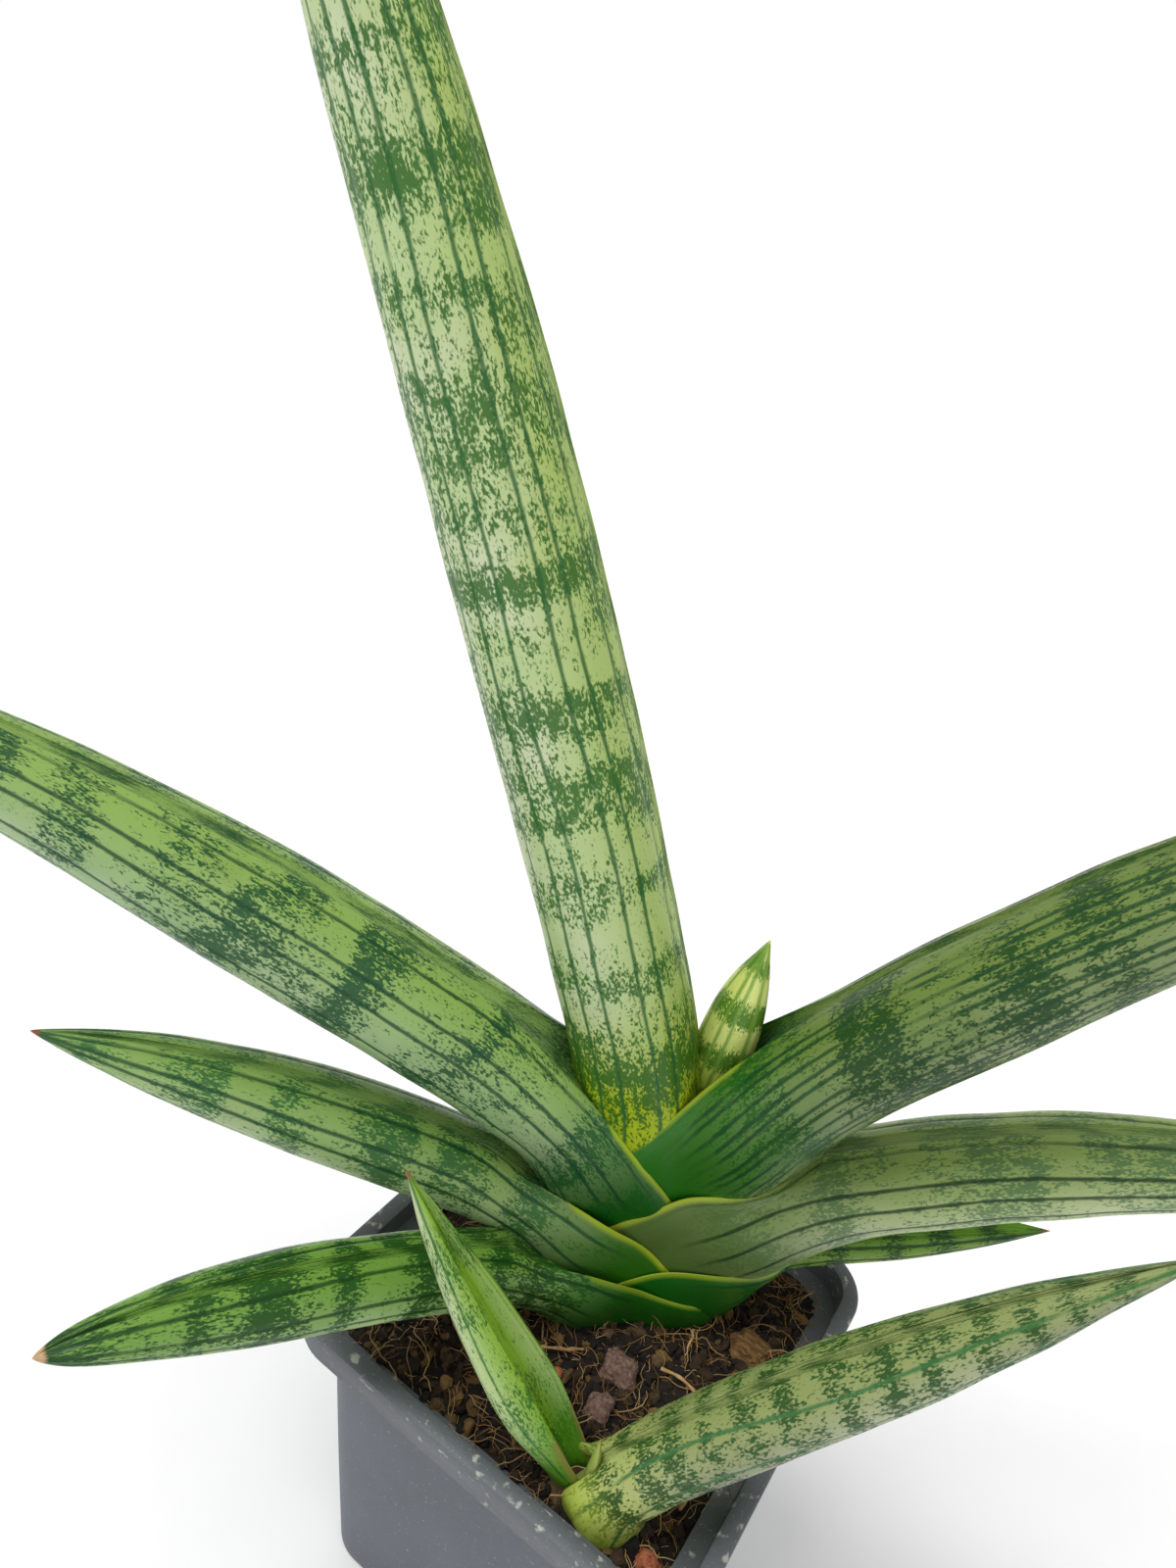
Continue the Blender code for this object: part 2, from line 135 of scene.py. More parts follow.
def grains_of(
    tree: bpy.types.NodeTree, place: bpy.types.NodeSocket, table: dict[str, tuple], **moved: tuple
) -> dict[str, bpy.types.NodeSocket]:
    """Adds noise patterns at several scales.

    Args:
        tree: the material's node tree.
        place: the coordinates that they are laid out in.
        table: each pattern's name, its grains to one unit along each axis, and its detail.
        moved: other inputs of each Mapping node.

    Returns:
        Each pattern's strength, by name.
    """
    made = {}
    for key, (scale, detail) in table.items():
        placed = add_node(tree, MAPPING, {"Vector": place, "Scale": scale, **moved})[0]
        made[key] = add_node(tree, NOISE, {"Vector": placed, "Scale": 1.0, "Detail": detail})["Fac"]
    return made


def layered(tree: bpy.types.NodeTree, ground: tuple, layers: tuple) -> bpy.types.NodeSocket:
    """Lays colours over one another, each where its mask says.

    Args:
        tree: the material's node tree.
        ground: the linear colour below them all.
        layers: linear colours and their masks, from the lowest up.

    Returns:
        The colour on top.
    """
    for shade, mask in layers:
        ground = add_node(tree, "ShaderNodeMix", {0: mask, 6: ground, 7: shade}, data_type="RGBA")[2]
    return ground


def geometry_tree(name: str, *labels: str) -> tuple[bpy.types.NodeTree, dict[str, str], Sequence]:
    """Starts a Geometry Nodes tree with named inputs.

    Args:
        name: the tree's name.
        labels: its number inputs; Seed is a whole number.

    Returns:
        The tree, each named input's identifier, and the sockets that bring the inputs in.
    """
    tree = bpy.data.node_groups.new(name, "GeometryNodeTree")
    face = tree.interface
    face.new_socket("Geometry", in_out="INPUT", socket_type="NodeSocketGeometry")
    names = {}
    for label in labels:
        kind = "NodeSocketInt" if label == "Seed" else "NodeSocketFloat"
        names[label] = face.new_socket(label, in_out="INPUT", socket_type=kind).identifier
    face.new_socket("Geometry", in_out="OUTPUT", socket_type="NodeSocketGeometry")
    return tree, names, add_node(tree, "NodeGroupInput")


def end_tree(tree: bpy.types.NodeTree, shape: bpy.types.NodeSocket, finish: bpy.types.Material) -> None:
    """Ends a Geometry Nodes tree: makes the shape real, gives it its material and hands it out."""
    real = add_node(tree, "GeometryNodeRealizeInstances", {"Geometry": shape})[0]
    dressed = add_node(tree, "GeometryNodeSetMaterial", {"Geometry": real, "Material": finish})[0]
    add_node(tree, "NodeGroupOutput", {"Geometry": dressed})


def new_object(name: str, data: bpy.types.ID) -> bpy.types.Object:
    """Makes an object from its data and puts it into the scene."""
    made = bpy.data.objects.new(name, data)
    bpy.context.scene.collection.objects.link(made)
    return made


def ring_faces(rings: int, around: int) -> list[list[int]]:
    """Returns the faces between rings of points, each with the same number of points around."""
    made = []
    for low in range(0, (rings - 1) * around, around):
        high = low + around
        for k in range(around):
            nxt = (k + 1) % around
            made.append([low + k, low + nxt, high + nxt, high + k])
    return made


def mesh_object(name: str, points: np.ndarray, faces: list) -> bpy.types.Object:
    """Makes a smooth-shaded object at the origin from points in millimetres.

    Args:
        name: the piece's name.
        points: one row for each vertex.
        faces: lists of vertex numbers.

    Returns:
        The new object.
    """
    mesh = bpy.data.meshes.new(name)
    mesh.from_pydata((np.asarray(points) * MM).tolist(), [], faces)
    mesh.update()
    mesh.polygons.foreach_set("use_smooth", [True] * len(mesh.polygons))
    return new_object(name, mesh)


def store(mesh: bpy.types.Mesh, name: str, values: np.ndarray) -> None:
    """Stores one vector for each vertex under a name that the materials read."""
    layer = mesh.attributes.new(name, "FLOAT_VECTOR", "POINT")
    layer.data.foreach_set("vector", np.ascontiguousarray(values, np.float32).ravel())


def baked(holder: bpy.types.Object, name: str) -> bpy.types.Object:
    """Turns an object with live modifiers into a plain mesh object and removes the holder.

    Args:
        holder: the object whose modifiers are evaluated.
        name: the plain object's name.

    Returns:
        The plain object.
    """
    graph = bpy.context.evaluated_depsgraph_get()
    mesh = bpy.data.meshes.new_from_object(holder.evaluated_get(graph))
    mesh.name = name
    bpy.data.objects.remove(holder, do_unlink=True)
    return new_object(name, mesh)


def hand_over(piece: bpy.types.Object, finish: bpy.types.Material, slot: str, *nodes: str) -> None:
    """Dresses a finished piece, lets it ride on the plant's one body, hides the solid nodes that it replaces
    and logs them.

    Args:
        piece: the finished object.
        finish: its material.
        slot: the material slot's name; not used.
        nodes: the solid nodes that it replaces.
    """
    piece.data.materials.clear()
    piece.data.materials.append(finish)
    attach(piece, BODY)
    if nodes:
        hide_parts(*nodes)
    log.info("%s: %d faces, for %s", piece.name, len(piece.data.polygons), nodes or "detail")


# ---------------------------------------------------------------- leaves
@dataclass(frozen=True)
class LeafFinish:
    """Living snake-plant leaf: waxy skin with cross bands of dark cells and sunken dark veins."""

    name: str
    ground: str
    pale: str
    inner: str
    band: str
    line: str
    base: str
    arm: str
    margin: str
    tip: str
    period: float = 20.0  # from one dark band to the next
    wave: float = 0.30  # how regular the bands are
    patch: float = 1.6  # how strongly broad patches decide where they are dark
    cover: float = 0.0  # above 0 for more dark, below for less
    speckle: float = 1.7
    depth: float = 0.92  # how much of the band's colour shows
    line_half: float = 0.30
    line_break: float = 0.0  # share of the veins' length that is faint
    roughness: float = 0.36

    def flesh(self, code: str) -> tuple[float, float, float, float]:
        """Turns a colour as the leaf shows it into its flesh's, without the 3% its wax reflects."""
        return (*(max(c * 0.97 - 0.03, 0.004) for c in linear(code)[:3]), 1.0)

    def build(self) -> bpy.types.Material:
        """Builds the leaf's material.

        Returns:
            The material. It reads the attributes skin (mm round and along the leaf), zones (base, arm,
            tip), marks (how clear the veins are, mm to the sheath's margin, how far it faces inwards)
            and veins (lane, lane width in mm).
        """
        made = new_material(self.name)
        tree = made.node_tree
        skin = add_node(tree, ATTRIBUTE, attribute_name="skin")["Vector"]
        zones = add_node(tree, ATTRIBUTE, attribute_name="zones")["Vector"]
        marks = add_node(tree, ATTRIBUTE, attribute_name="marks")["Vector"]
        along = add_node(tree, "ShaderNodeSeparateXYZ", {0: skin})[2]
        base, arm, tip = add_node(tree, "ShaderNodeSeparateXYZ", {0: zones})
        fresh, edge, facing = add_node(tree, "ShaderNodeSeparateXYZ", {0: marks})
        lanes = add_node(tree, ATTRIBUTE, attribute_name="veins")["Vector"]
        lane, lane_width, _ = add_node(tree, "ShaderNodeSeparateXYZ", {0: lanes})

        # Cells lie in files along the leaf, so each pattern is longer than it is wide: broad patches
        # of 30 by 9 mm, jagged files of 1 by 4 mm and single dark cells of about 0.4 mm.
        table = {
            "drift": ((0.03, 0.03, 0.035), 2.0),
            "patch": ((0.045, 0.045, 0.12), 3.0),
            "file": ((1.25, 1.25, 0.30), 4.0),
            "cell": ((4.2, 4.2, 1.3), 3.0),
            "cloud": ((0.10, 0.10, 0.045), 3.0),
        }
        grains = grains_of(tree, skin, table, Location=(7, 3, 1))

        turn = add_node(tree, MATH, {0: grains["drift"], 1: 16.0}, operation="MULTIPLY")
        phase = add_node(
            tree, MATH, {0: along, 1: 2 * math.pi / self.period, 2: turn[0]}, operation="MULTIPLY_ADD")
        wave = add_node(tree, MATH, {0: phase[0]}, operation="SINE")[0]
        layers = (
            (wave, self.wave, 0.0),
            (grains["patch"], self.patch * 2, 0.5),
            (grains["file"], 3.0, 0.5),
            (grains["cell"], self.speckle * 2.8, 0.5),
        )
        signal: float | bpy.types.NodeSocket = self.cover - sum(gain * middle for _, gain, middle in layers)
        for source, gain, _ in layers:
            signal = add_node(tree, MATH, {0: source, 1: gain, 2: signal}, operation="MULTIPLY_ADD")[0]
        dark = add_node(
            tree, SPAN, {"Value": signal, "From Min": -0.20, "From Max": 0.42, "To Max": self.depth})[0]

        # Veins are dark, sunken and 0.6 mm wide, one in each lane and a little off its middle.
        number = add_node(tree, MATH, {0: lane}, operation="FLOOR")[0]
        share = add_node(tree, MATH, {0: lane}, operation="FRACT")[0]
        stray = add_node(tree, MATH, {0: number, 1: VEIN_TURN}, operation="MULTIPLY")[0]
        stray = add_node(tree, MATH, {0: stray}, operation="SINE")[0]
        middle = add_node(tree, MATH, {0: stray, 1: VEIN_JITTER, 2: 0.5}, operation="MULTIPLY_ADD")[0]
        vein = add_node(tree, MATH, {0: share, 1: middle}, operation="SUBTRACT")[0]
        vein = add_node(tree, MATH, {0: vein}, operation="ABSOLUTE")[0]
        vein = add_node(tree, MATH, {0: vein, 1: lane_width}, operation="MULTIPLY")[0]
        wobble = add_node(tree, MATH, {0: grains["file"], 1: -0.5, 2: vein}, operation="MULTIPLY_ADD")[0]
        thread = add_node(tree, SPAN, {"Value": wobble, "From Min": self.line_half - 0.34,
            "From Max": self.line_half - 0.02, "To Min": 0.86, "To Max": 0.0})[0]
        faint = add_node(tree, SPAN, {"Value": grains["cloud"], "From Min": 0.30 + 0.25 * self.line_break,
            "From Max": 0.36 + 0.25 * self.line_break, "To Min": 0.35, "To Max": 1.0})[0]
        thread = add_node(tree, MATH, {0: thread, 1: faint}, operation="MULTIPLY")[0]
        thread = add_node(tree, MATH, {0: thread, 1: fresh}, operation="MULTIPLY")[0]
        inward = add_node(tree, SPAN, {"Value": facing, "From Min": 0.42, "From Max": 0.95})[0]
        paler = add_node(tree, SPAN, {"Value": grains["cloud"], "From Min": 0.42, "From Max": 0.62})[0]
        rooted = add_node(tree, MATH, {0: grains["cloud"], 1: 0.9, 2: base}, operation="MULTIPLY_ADD")[0]
        rooted = add_node(tree, SPAN, {"Value": rooted, "From Min": 0.55, "From Max": 1.25})[0]
        rim = add_node(tree, MATH, {0: grains["cloud"], 1: -1.6, 2: edge}, operation="MULTIPLY_ADD")[0]
        rim = add_node(tree, SPAN, {"Value": rim, "From Min": -0.5, "From Max": 0.85, "To Min": 0.9,
            "To Max": 0.0}, interpolation_type="SMOOTHSTEP")[0]
        dried = add_node(tree, MATH, {0: grains["file"], 1: 0.5, 2: tip}, operation="MULTIPLY_ADD")[0]
        dried = add_node(tree, SPAN, {"Value": dried, "From Min": 0.62, "From Max": 0.82})[0]

        layers = ((self.pale, paler), (self.inner, inward), (self.base, rooted), (self.band, dark),
                  (self.arm, arm), (self.line, thread), (self.margin, rim), (self.tip, dried))
        colour = layered(
            tree, self.flesh(self.ground), tuple((self.flesh(shade), mask) for shade, mask in layers))
        gloss = add_node(tree, SPAN, {"Value": grains["cell"], "From Min": 0.3, "From Max": 0.7,
            "To Min": self.roughness - 0.05, "To Max": self.roughness + 0.12})[0]
        # The skin is faintly ribbed along the leaf, a rib every half millimetre.
        ribs = add_node(tree, MAPPING, {"Vector": skin, "Scale": (2.0, 2.0, 0.12)})
        ribbed = add_node(tree, NOISE, {"Vector": ribs[0], "Scale": 1.0, "Detail": 2.0})
        bump = add_node(
            tree, "ShaderNodeBump", {"Height": ribbed["Fac"], "Strength": 0.35, "Distance": 0.00018})
        # Wax over wet flesh: a soft gloss, with a little light let through.
        shader = add_node(
            tree,
            "ShaderNodeBsdfPrincipled",
            {"Base Color": colour, "Roughness": gloss, "Normal": bump[0], "IOR": 1.42,
             "Subsurface Weight": 0.06, "Subsurface Radius": (0.5, 1.0, 0.3),
             "Subsurface Scale": 0.0012, "Specular IOR Level": 0.4},
        )
        add_node(tree, "ShaderNodeOutputMaterial", {"Surface": shader[0]})
        return made


@dataclass
class Leaf:
    """One leaf: a loft along its leaning middle line, from a clasping sheath to a pointed blade."""

    name: str
    finish: LeafFinish
    slot: str
    foot: tuple[float, float, float]  # where the sheath's axis meets the rhizome
    heading: float  # degrees from +X that the leaf leans towards
    step: float  # from the axis out to the blade's own middle line
    lean: tuple[float, float, float]  # degrees from upright at the foot, past the bend and at the tip
    bend: tuple[float, float]  # where along the leaf it bends
    length: float
    width: float
    depth: float  # thickness of the blade
    clasp: float  # radius that the sheath embraces at its foot
    flare: float  # how much wider it is at the sheath's top
    wrap: float  # half the angle that the sheath goes round, in degrees
    sheath: float  # length of the sheath
    opening: float  # length over which it becomes a blade
    sheath_wall: float = 2.7
    channel: float = 18.0  # half the angle that an open blade is bent to
    fullest: float = 0.33  # share of the length at which it starts to narrow
    taper: float = 2.4  # higher for a leaf that narrows later
    veins: int = 14  # lanes from margin to margin
    vein_depth: float = 0.22
    base_from: float = 0.0  # height over the soil up to which the base's colour is full
    base_fade: float = 34.0  # length over which it fades
    dry_tip: float = 3.0  # length of the dry point
    rings: int = 170
    around: int = 240
    seed: int = 1

    def middle_line(self, stations: np.ndarray) -> tuple[np.ndarray, np.ndarray, np.ndarray]:
        """Follows the leaf's middle line.

        Args:
            stations: arc lengths from the buried base.

        Returns:
            How far out, how far up and the lean in radians at each station.
        """
        fine = np.linspace(0.0, self.length, 600)
        low, mid, high = (math.radians(a) for a in self.lean)
        start, end = self.bend
        turn = smooth_step((fine - start) / (end - start))
        onward = np.clip((fine - end) / (self.length - end), 0.0, 1.0)
        lean = low + (mid - low) * turn + (high - mid) * onward
        ends = (lean[1:] + lean[:-1]) / 2
        out = np.concatenate([[0.0], np.cumsum(np.sin(ends) * fine[1])])
        rise = np.concatenate([[0.0], np.cumsum(np.cos(ends) * fine[1])])
        return tuple(np.interp(stations, fine, line) for line in (out, rise, lean))

    def stations(self) -> np.ndarray:
        """Returns the rings' arc lengths, closest together at the sheath and at the tip."""
        x = np.linspace(0.0, 1.0, self.rings + 1)[:-1]
        return self.length * (x - 0.55 * np.sin(2 * math.pi * x) / (2 * math.pi))

    def loft(self) -> dict[str, np.ndarray]:
        """Works out the skin's points and what the finish needs to know about each.

        Returns:
            Arrays of rings by points around: places, and the parts of skin, zones and marks.
        """
        s = self.stations()[:, None]
        t = np.linspace(0.0, 2 * math.pi, self.around, endpoint=False)[None, :]
        open_up = smooth_step((s - self.sheath) / self.opening)
        v = 0.65 * (1 - 2 * np.abs(t / math.pi - 1)) - 0.35 * np.cos(t)
        across, inward, half, wrap, girth = self.section(s, t, v, open_up)
        out, rise, lean = (line[:, None] for line in self.middle_line(self.stations()))
        inward = inward + self.step * (1 - open_up)
        head = math.radians(self.heading)
        ahead = np.array([math.cos(head), math.sin(head), 0.0])
        aside = np.array([ahead[1], -ahead[0], 0.0])
        up = np.array([0.0, 0.0, 1.0])
        inner_way = -ahead * np.cos(lean)[..., None] + up * np.sin(lean)[..., None]
        centre = np.array(self.foot) + ahead * (self.step + out[..., None]) + up * rise[..., None]
        places = centre + aside * across[..., None] + inner_way * inward[..., None]
        return {"places": places, "inner_way": inner_way, "s": s + 0 * t, "t": t + 0 * s, "v": v + 0 * s,
                "open": open_up + 0 * t, "girth": girth + 0 * t, "half": half + 0 * t,
                "wrap": wrap + 0 * t, "centre": centre}

    def section(self, s: np.ndarray, t: np.ndarray, v: np.ndarray, open_up: np.ndarray) -> tuple:
        """Works out each ring of a leaf whose sheath unrolls into a blade with a broad channel.

        Args:
            s: arc lengths, as a column.
            t: turns round the section, as a row; the outer face comes first.
            v: the same as a share from margin to margin.
            open_up: how far the sheath has opened.

        Returns:
            Places across and inwards, half the width along the skin, half the wrapped angle, and girth.
        """
        fill_from = 0.6 * self.sheath
        fill_up = smooth_step((s - fill_from) / (self.sheath + self.opening - fill_from))
        clasp = self.clasp + self.flare * smooth_step(s / self.sheath)
        past = np.clip((s / self.length - self.fullest) / (1 - self.fullest), 0.0, 1.0)
        girth = 1 - past**self.taper
        wrap = math.radians(self.wrap) * (1 - open_up) + math.radians(self.channel) * open_up
        snug = (math.radians(self.wrap) + wrap) / 2
        half = clasp * snug * (1 - open_up) + self.width / 2 * girth * open_up
        wall = self.sheath_wall * (1 - fill_up) + self.depth * girth * fill_up
        radius = half / wrap
        oval = 1 + 0.30 * (1 - open_up)
        angle = v * wrap
        side = np.where(np.sin(t) >= 0, 1, -1) * np.sqrt(np.maximum(1 - v**2, 0.0))
        thin = np.minimum(wall, ARM_WALL)
        thick = thin * np.abs(side) + (wall - thin) * np.abs(side) ** (1 + 4 * (1 - open_up))
        slope_a = np.sin(angle) * oval
        slope_n = -np.cos(angle)
        size = np.hypot(slope_a, slope_n)
        offset = np.sign(side) * thick / 2
        across = radius * np.sin(angle) + slope_a / size * offset
        inward = oval * radius * (open_up - np.cos(angle)) + slope_n / size * offset
        return across, inward, half, wrap, girth

    def cling(self, loft: dict[str, np.ndarray], younger: BVHTree) -> None:
        """Lays the sheath's arms over the younger leaves that it clasps.

        Args:
            loft: the arrays of loft(), whose places are changed.
            younger: the surfaces of the younger leaves, in millimetres.
        """
        places = loft["places"]
        rings = int(np.searchsorted(loft["s"][:, 0], self.sheath + self.opening))
        half_round = self.around // 2
        shift = np.zeros((rings, half_round + 1))
        foot = np.array(self.foot)
        ray_from = 8.0  # how far outside the sheath each ray starts
        most_inward = 2.5  # how far an arm may be drawn in
        for i in range(rings):
            for j in range(half_round + 1):
                outer, inner = places[i, j], places[i, (self.around - j) % self.around]
                flat = outer[:2] - foot[:2]
                reach = math.hypot(*flat)
                if reach < 0.5:
                    continue
                way = Vector((flat[0] / reach, flat[1] / reach, 0.0))
                start = Vector((foot[0], foot[1], outer[2])) + way * (reach + ray_from)
                hit = younger.ray_cast(start, -way, reach + ray_from - 0.5)
                if hit[0] is None:
                    continue
                thick = min(float(np.linalg.norm(outer - inner)), ARM_WALL)
                gap = ray_from - hit[3] + CLASP_GAP + thick
                # It is pushed out wherever it cuts in, and drawn in only at its arms, from 35 degrees round.
                turned = abs(loft["v"][i, j]) * math.degrees(loft["wrap"][i, j])
                arm = float(smooth_step((turned - 35) / 30))
                closed = 1 - float(smooth_step((loft["open"][i, j] - 0.05) / 0.3))
                shift[i, j] = gap if gap > 0 else max(gap, -most_inward) * arm * closed
        for _ in range(3):
            wide = np.pad(shift, ((2, 2), (2, 2)), mode="edge")
            shift = sum(wide[a : a + rings, b : b + half_round + 1] for a in range(5) for b in range(5)) / 25
        fade = 1 - smooth_step((loft["open"][:rings, 0] - 0.8) / 0.2)
        shift = shift * fade[:, None]
        for j in range(half_round + 1):
            for k in {j, (self.around - j) % self.around}:
                flat = places[:rings, k, :2] - foot[:2]
                reach = np.maximum(np.linalg.norm(flat, axis=1), 0.5)
                places[:rings, k, :2] += flat / reach[:, None] * shift[:, j, None]

    def normals(self, places: np.ndarray, centre: np.ndarray) -> np.ndarray:
        """Returns unit normals of the grid of places, pointing away from its middle line."""
        round_way = np.roll(places, -1, axis=1) - np.roll(places, 1, axis=1)
        along_way = np.gradient(places, axis=0)
        made = np.cross(round_way, along_way)
        made /= np.maximum(np.linalg.norm(made, axis=2, keepdims=True), 1e-9)
        middle = self.rings // 2
        outward = np.sum(made[middle] * (places[middle] - places[middle].mean(axis=0)))
        return made if outward > 0 else -made

    def vein_lanes(self, loft: dict[str, np.ndarray]) -> tuple[np.ndarray, np.ndarray]:
        """Splits the skin into one lane for each vein, from margin to margin.

        Args:
            loft: the arrays of loft().

        Returns:
            Each point's lane as a running number, and the lanes' width in millimetres.
        """
        sway = 0.10 * np.sin(loft["s"] / 21 + self.seed) + 0.05 * np.sin(loft["s"] / 8.3)
        lane = (loft["v"] + 1) / 2 * self.veins + sway
        return lane, 2 * loft["half"] / self.veins

    def veined(self, t: np.ndarray) -> np.ndarray:
        """Returns 1 where this kind of leaf shows veins and 0 where it doesn't."""
        return np.ones_like(t)

    def build(self, younger: list[tuple[np.ndarray, list]]) -> bpy.types.Object:
        """Builds and dresses the leaf.

        Args:
            younger: places and faces of the leaves that its sheath clasps; this leaf's are added.

        Returns:
            The leaf's object.
        """
        loft = self.loft()
        if younger:
            count = 0
            corners, polygons = [], []
            for points, faces in younger:
                corners.extend(points.tolist())
                polygons.extend([[k + count for k in face] for face in faces])
                count += len(points)
            self.cling(loft, BVHTree.FromPolygons(corners, polygons))
        places = loft["places"]
        normal = self.normals(places, loft["centre"])
        lane, lane_width = self.vein_lanes(loft)
        jitter = VEIN_JITTER * np.sin(np.floor(lane) * VEIN_TURN)
        vein = np.abs(lane - np.floor(lane) - 0.5 - jitter) * lane_width
        ripe = smooth_step((loft["open"] - 0.35) / 0.5) * smooth_step(loft["girth"] / 0.35)
        places -= normal * (self.vein_depth * np.exp(-((vein / 0.5) ** 2)) * ripe)[..., None]
        flat = places.reshape(-1, 3)
        swell = np.array([noise.noise(Vector(p) * 0.07 + Vector((self.seed, 0, 0))) for p in flat])
        places += normal * (0.28 * swell.reshape(places.shape[:2]) * ripe)[..., None]

        tip = np.array([x[-1] for x in self.middle_line(np.array([0.0, self.length]))[:2]])
        head = math.radians(self.heading)
        end = np.array(self.foot) + np.array([math.cos(head), math.sin(head), 0.0]) * (self.step + tip[0])
        end[2] += tip[1]
        points = np.vstack([places.reshape(-1, 3), end])
        n = self.around
        faces = ring_faces(self.rings, n)
        last = (self.rings - 1) * n
        faces += [[last + k, last + (k + 1) % n, len(points) - 1] for k in range(n)]
        for k in range(n // 2):
            faces.append(list(dict.fromkeys(((n - k) % n, n - k - 1, k + 1, k))))
        made = mesh_object(self.name, points, faces)
        bm = bmesh.new()
        bm.from_mesh(made.data)
        bmesh.ops.recalc_face_normals(bm, faces=bm.faces)
        bm.to_mesh(made.data)
        bm.free()

        reach = (self.width + self.depth) / 4
        turn = loft["t"]
        skin = np.stack([reach * np.cos(turn) + self.seed * 37, reach * np.sin(turn), loft["s"]], 2)
        over_soil = loft["s"] - (SOIL_TOP - self.foot[2]) - self.base_from
        bent = np.abs(loft["v"]) * np.degrees(loft["wrap"])
        base = 1 - smooth_step(over_soil / self.base_fade)
        arm = (1 - loft["open"]) ** 0.6 * smooth_step((bent - 18) / 45)
        dry = 1 - np.clip((self.length - loft["s"]) / self.dry_tip, 0.0, 1.0)
        margin = loft["half"] * (1 - np.abs(loft["v"])) + 6 * smooth_step((loft["open"] - 0.6) / 0.4)
        facing = 0.5 + 0.5 * np.sum(normal * loft["inner_way"], axis=2)
        fresh = smooth_step((loft["open"] - 0.02) / 0.3) * smooth_step((1 - np.abs(loft["v"])) / 0.10)
        fresh = fresh * self.veined(loft["t"])
        for name, parts in (
            ("zones", (base, arm, dry)),
            ("marks", (fresh, margin, facing)),
            ("veins", (lane, lane_width, 0 * lane)),
        ):
            values = np.stack(parts, 2).reshape(-1, 3)
            store(made.data, name, np.vstack([values, values[-n:].mean(axis=0)]))
        skin = skin.reshape(-1, 3)
        store(made.data, "skin", np.vstack([skin, skin[-n:].mean(axis=0)]))
        younger.append((points, faces))
        hand_over(made, self.finish.build(), self.slot, self.name)
        return made


@dataclass
class RoundLeaf(Leaf):
    """A leaf whose sheath fills up into a round blade, and whose channel closes as it does."""

    root_wrap: float = 0.0  # how much further round the sheath goes at its base
    closing: tuple[float, float] = (30.0, 60.0)  # where the channel starts and ends its closing
    shut: float = 172.0  # half the angle that the skin embraces once closed
    groove: float = 1.6  # depth of the channel
    level: float = 0.8  # share of that depth which is lost where the channel is closed
    blunt: float = 1.0  # under 1 for a rounder tip

    def veined(self, t: np.ndarray) -> np.ndarray:
        """Returns 1 on the outer face and 0 in the channel."""
        return np.where(np.sin(t) >= 0, 1.0, 0.0)

    def section(self, s: np.ndarray, t: np.ndarray, v: np.ndarray, open_up: np.ndarray) -> tuple:
        """Works out each ring: an oval outer face from margin to margin, and a channel that fills up.

        Args:
            s: arc lengths, as a column.
            t: turns round the section, as a row; the outer face comes first.
            v: the same as a share from margin to margin.
            open_up: how far the sheath has become a blade.

        Returns:
            Places across and inwards, half the width along the skin, half the wrapped angle, and girth.
        """
        fill_from = 0.6 * self.sheath
        fill_up = smooth_step((s - fill_from) / (self.sheath + self.opening - fill_from))
        clasp = self.clasp + self.flare * smooth_step(s / self.sheath)
        past = np.clip((s / self.length - self.fullest) / (1 - self.fullest), 0.0, 1.0)
        girth = (1 - past**self.taper) ** self.blunt
        start, end = self.closing
        closed = smooth_step((s - start) / (end - start))
        wrap = self.wrap + self.root_wrap * (1 - smooth_step(s / start)) + (self.shut - self.wrap) * closed
        wrap = np.radians(wrap)
        wide = (clasp + self.sheath_wall / 2) * (1 - open_up) + self.width / 2 * girth * open_up
        deep = (1.3 * clasp + self.sheath_wall / 2) * (1 - open_up) + self.depth / 2 * girth * open_up
        angle = v * wrap
        side = np.sqrt(np.maximum(1 - v**2, 0.0))
        thin = np.minimum(ARM_WALL, 0.3 * wide)
        wall = thin * side + (self.sheath_wall - thin) * side**5
        arc_a = (wide - wall) * np.sin(angle)
        arc_n = -(deep - wall) * np.cos(angle)
        dip = np.minimum(self.groove, 0.6 * deep) * (1 - v**2) * (1 - self.level * closed)
        chord_a = wide * np.sin(wrap) * v
        chord_n = -deep * np.cos(wrap) - dip
        inner_a = arc_a + (chord_a - arc_a) * fill_up
        inner_n = arc_n + (chord_n - arc_n) * fill_up
        outer = np.sin(t) >= 0
        across = np.where(outer, wide * np.sin(angle), inner_a)
        inward = np.where(outer, -deep * np.cos(angle), inner_n)
        return across, inward, (wide + deep) / 2 * wrap, wrap, girth


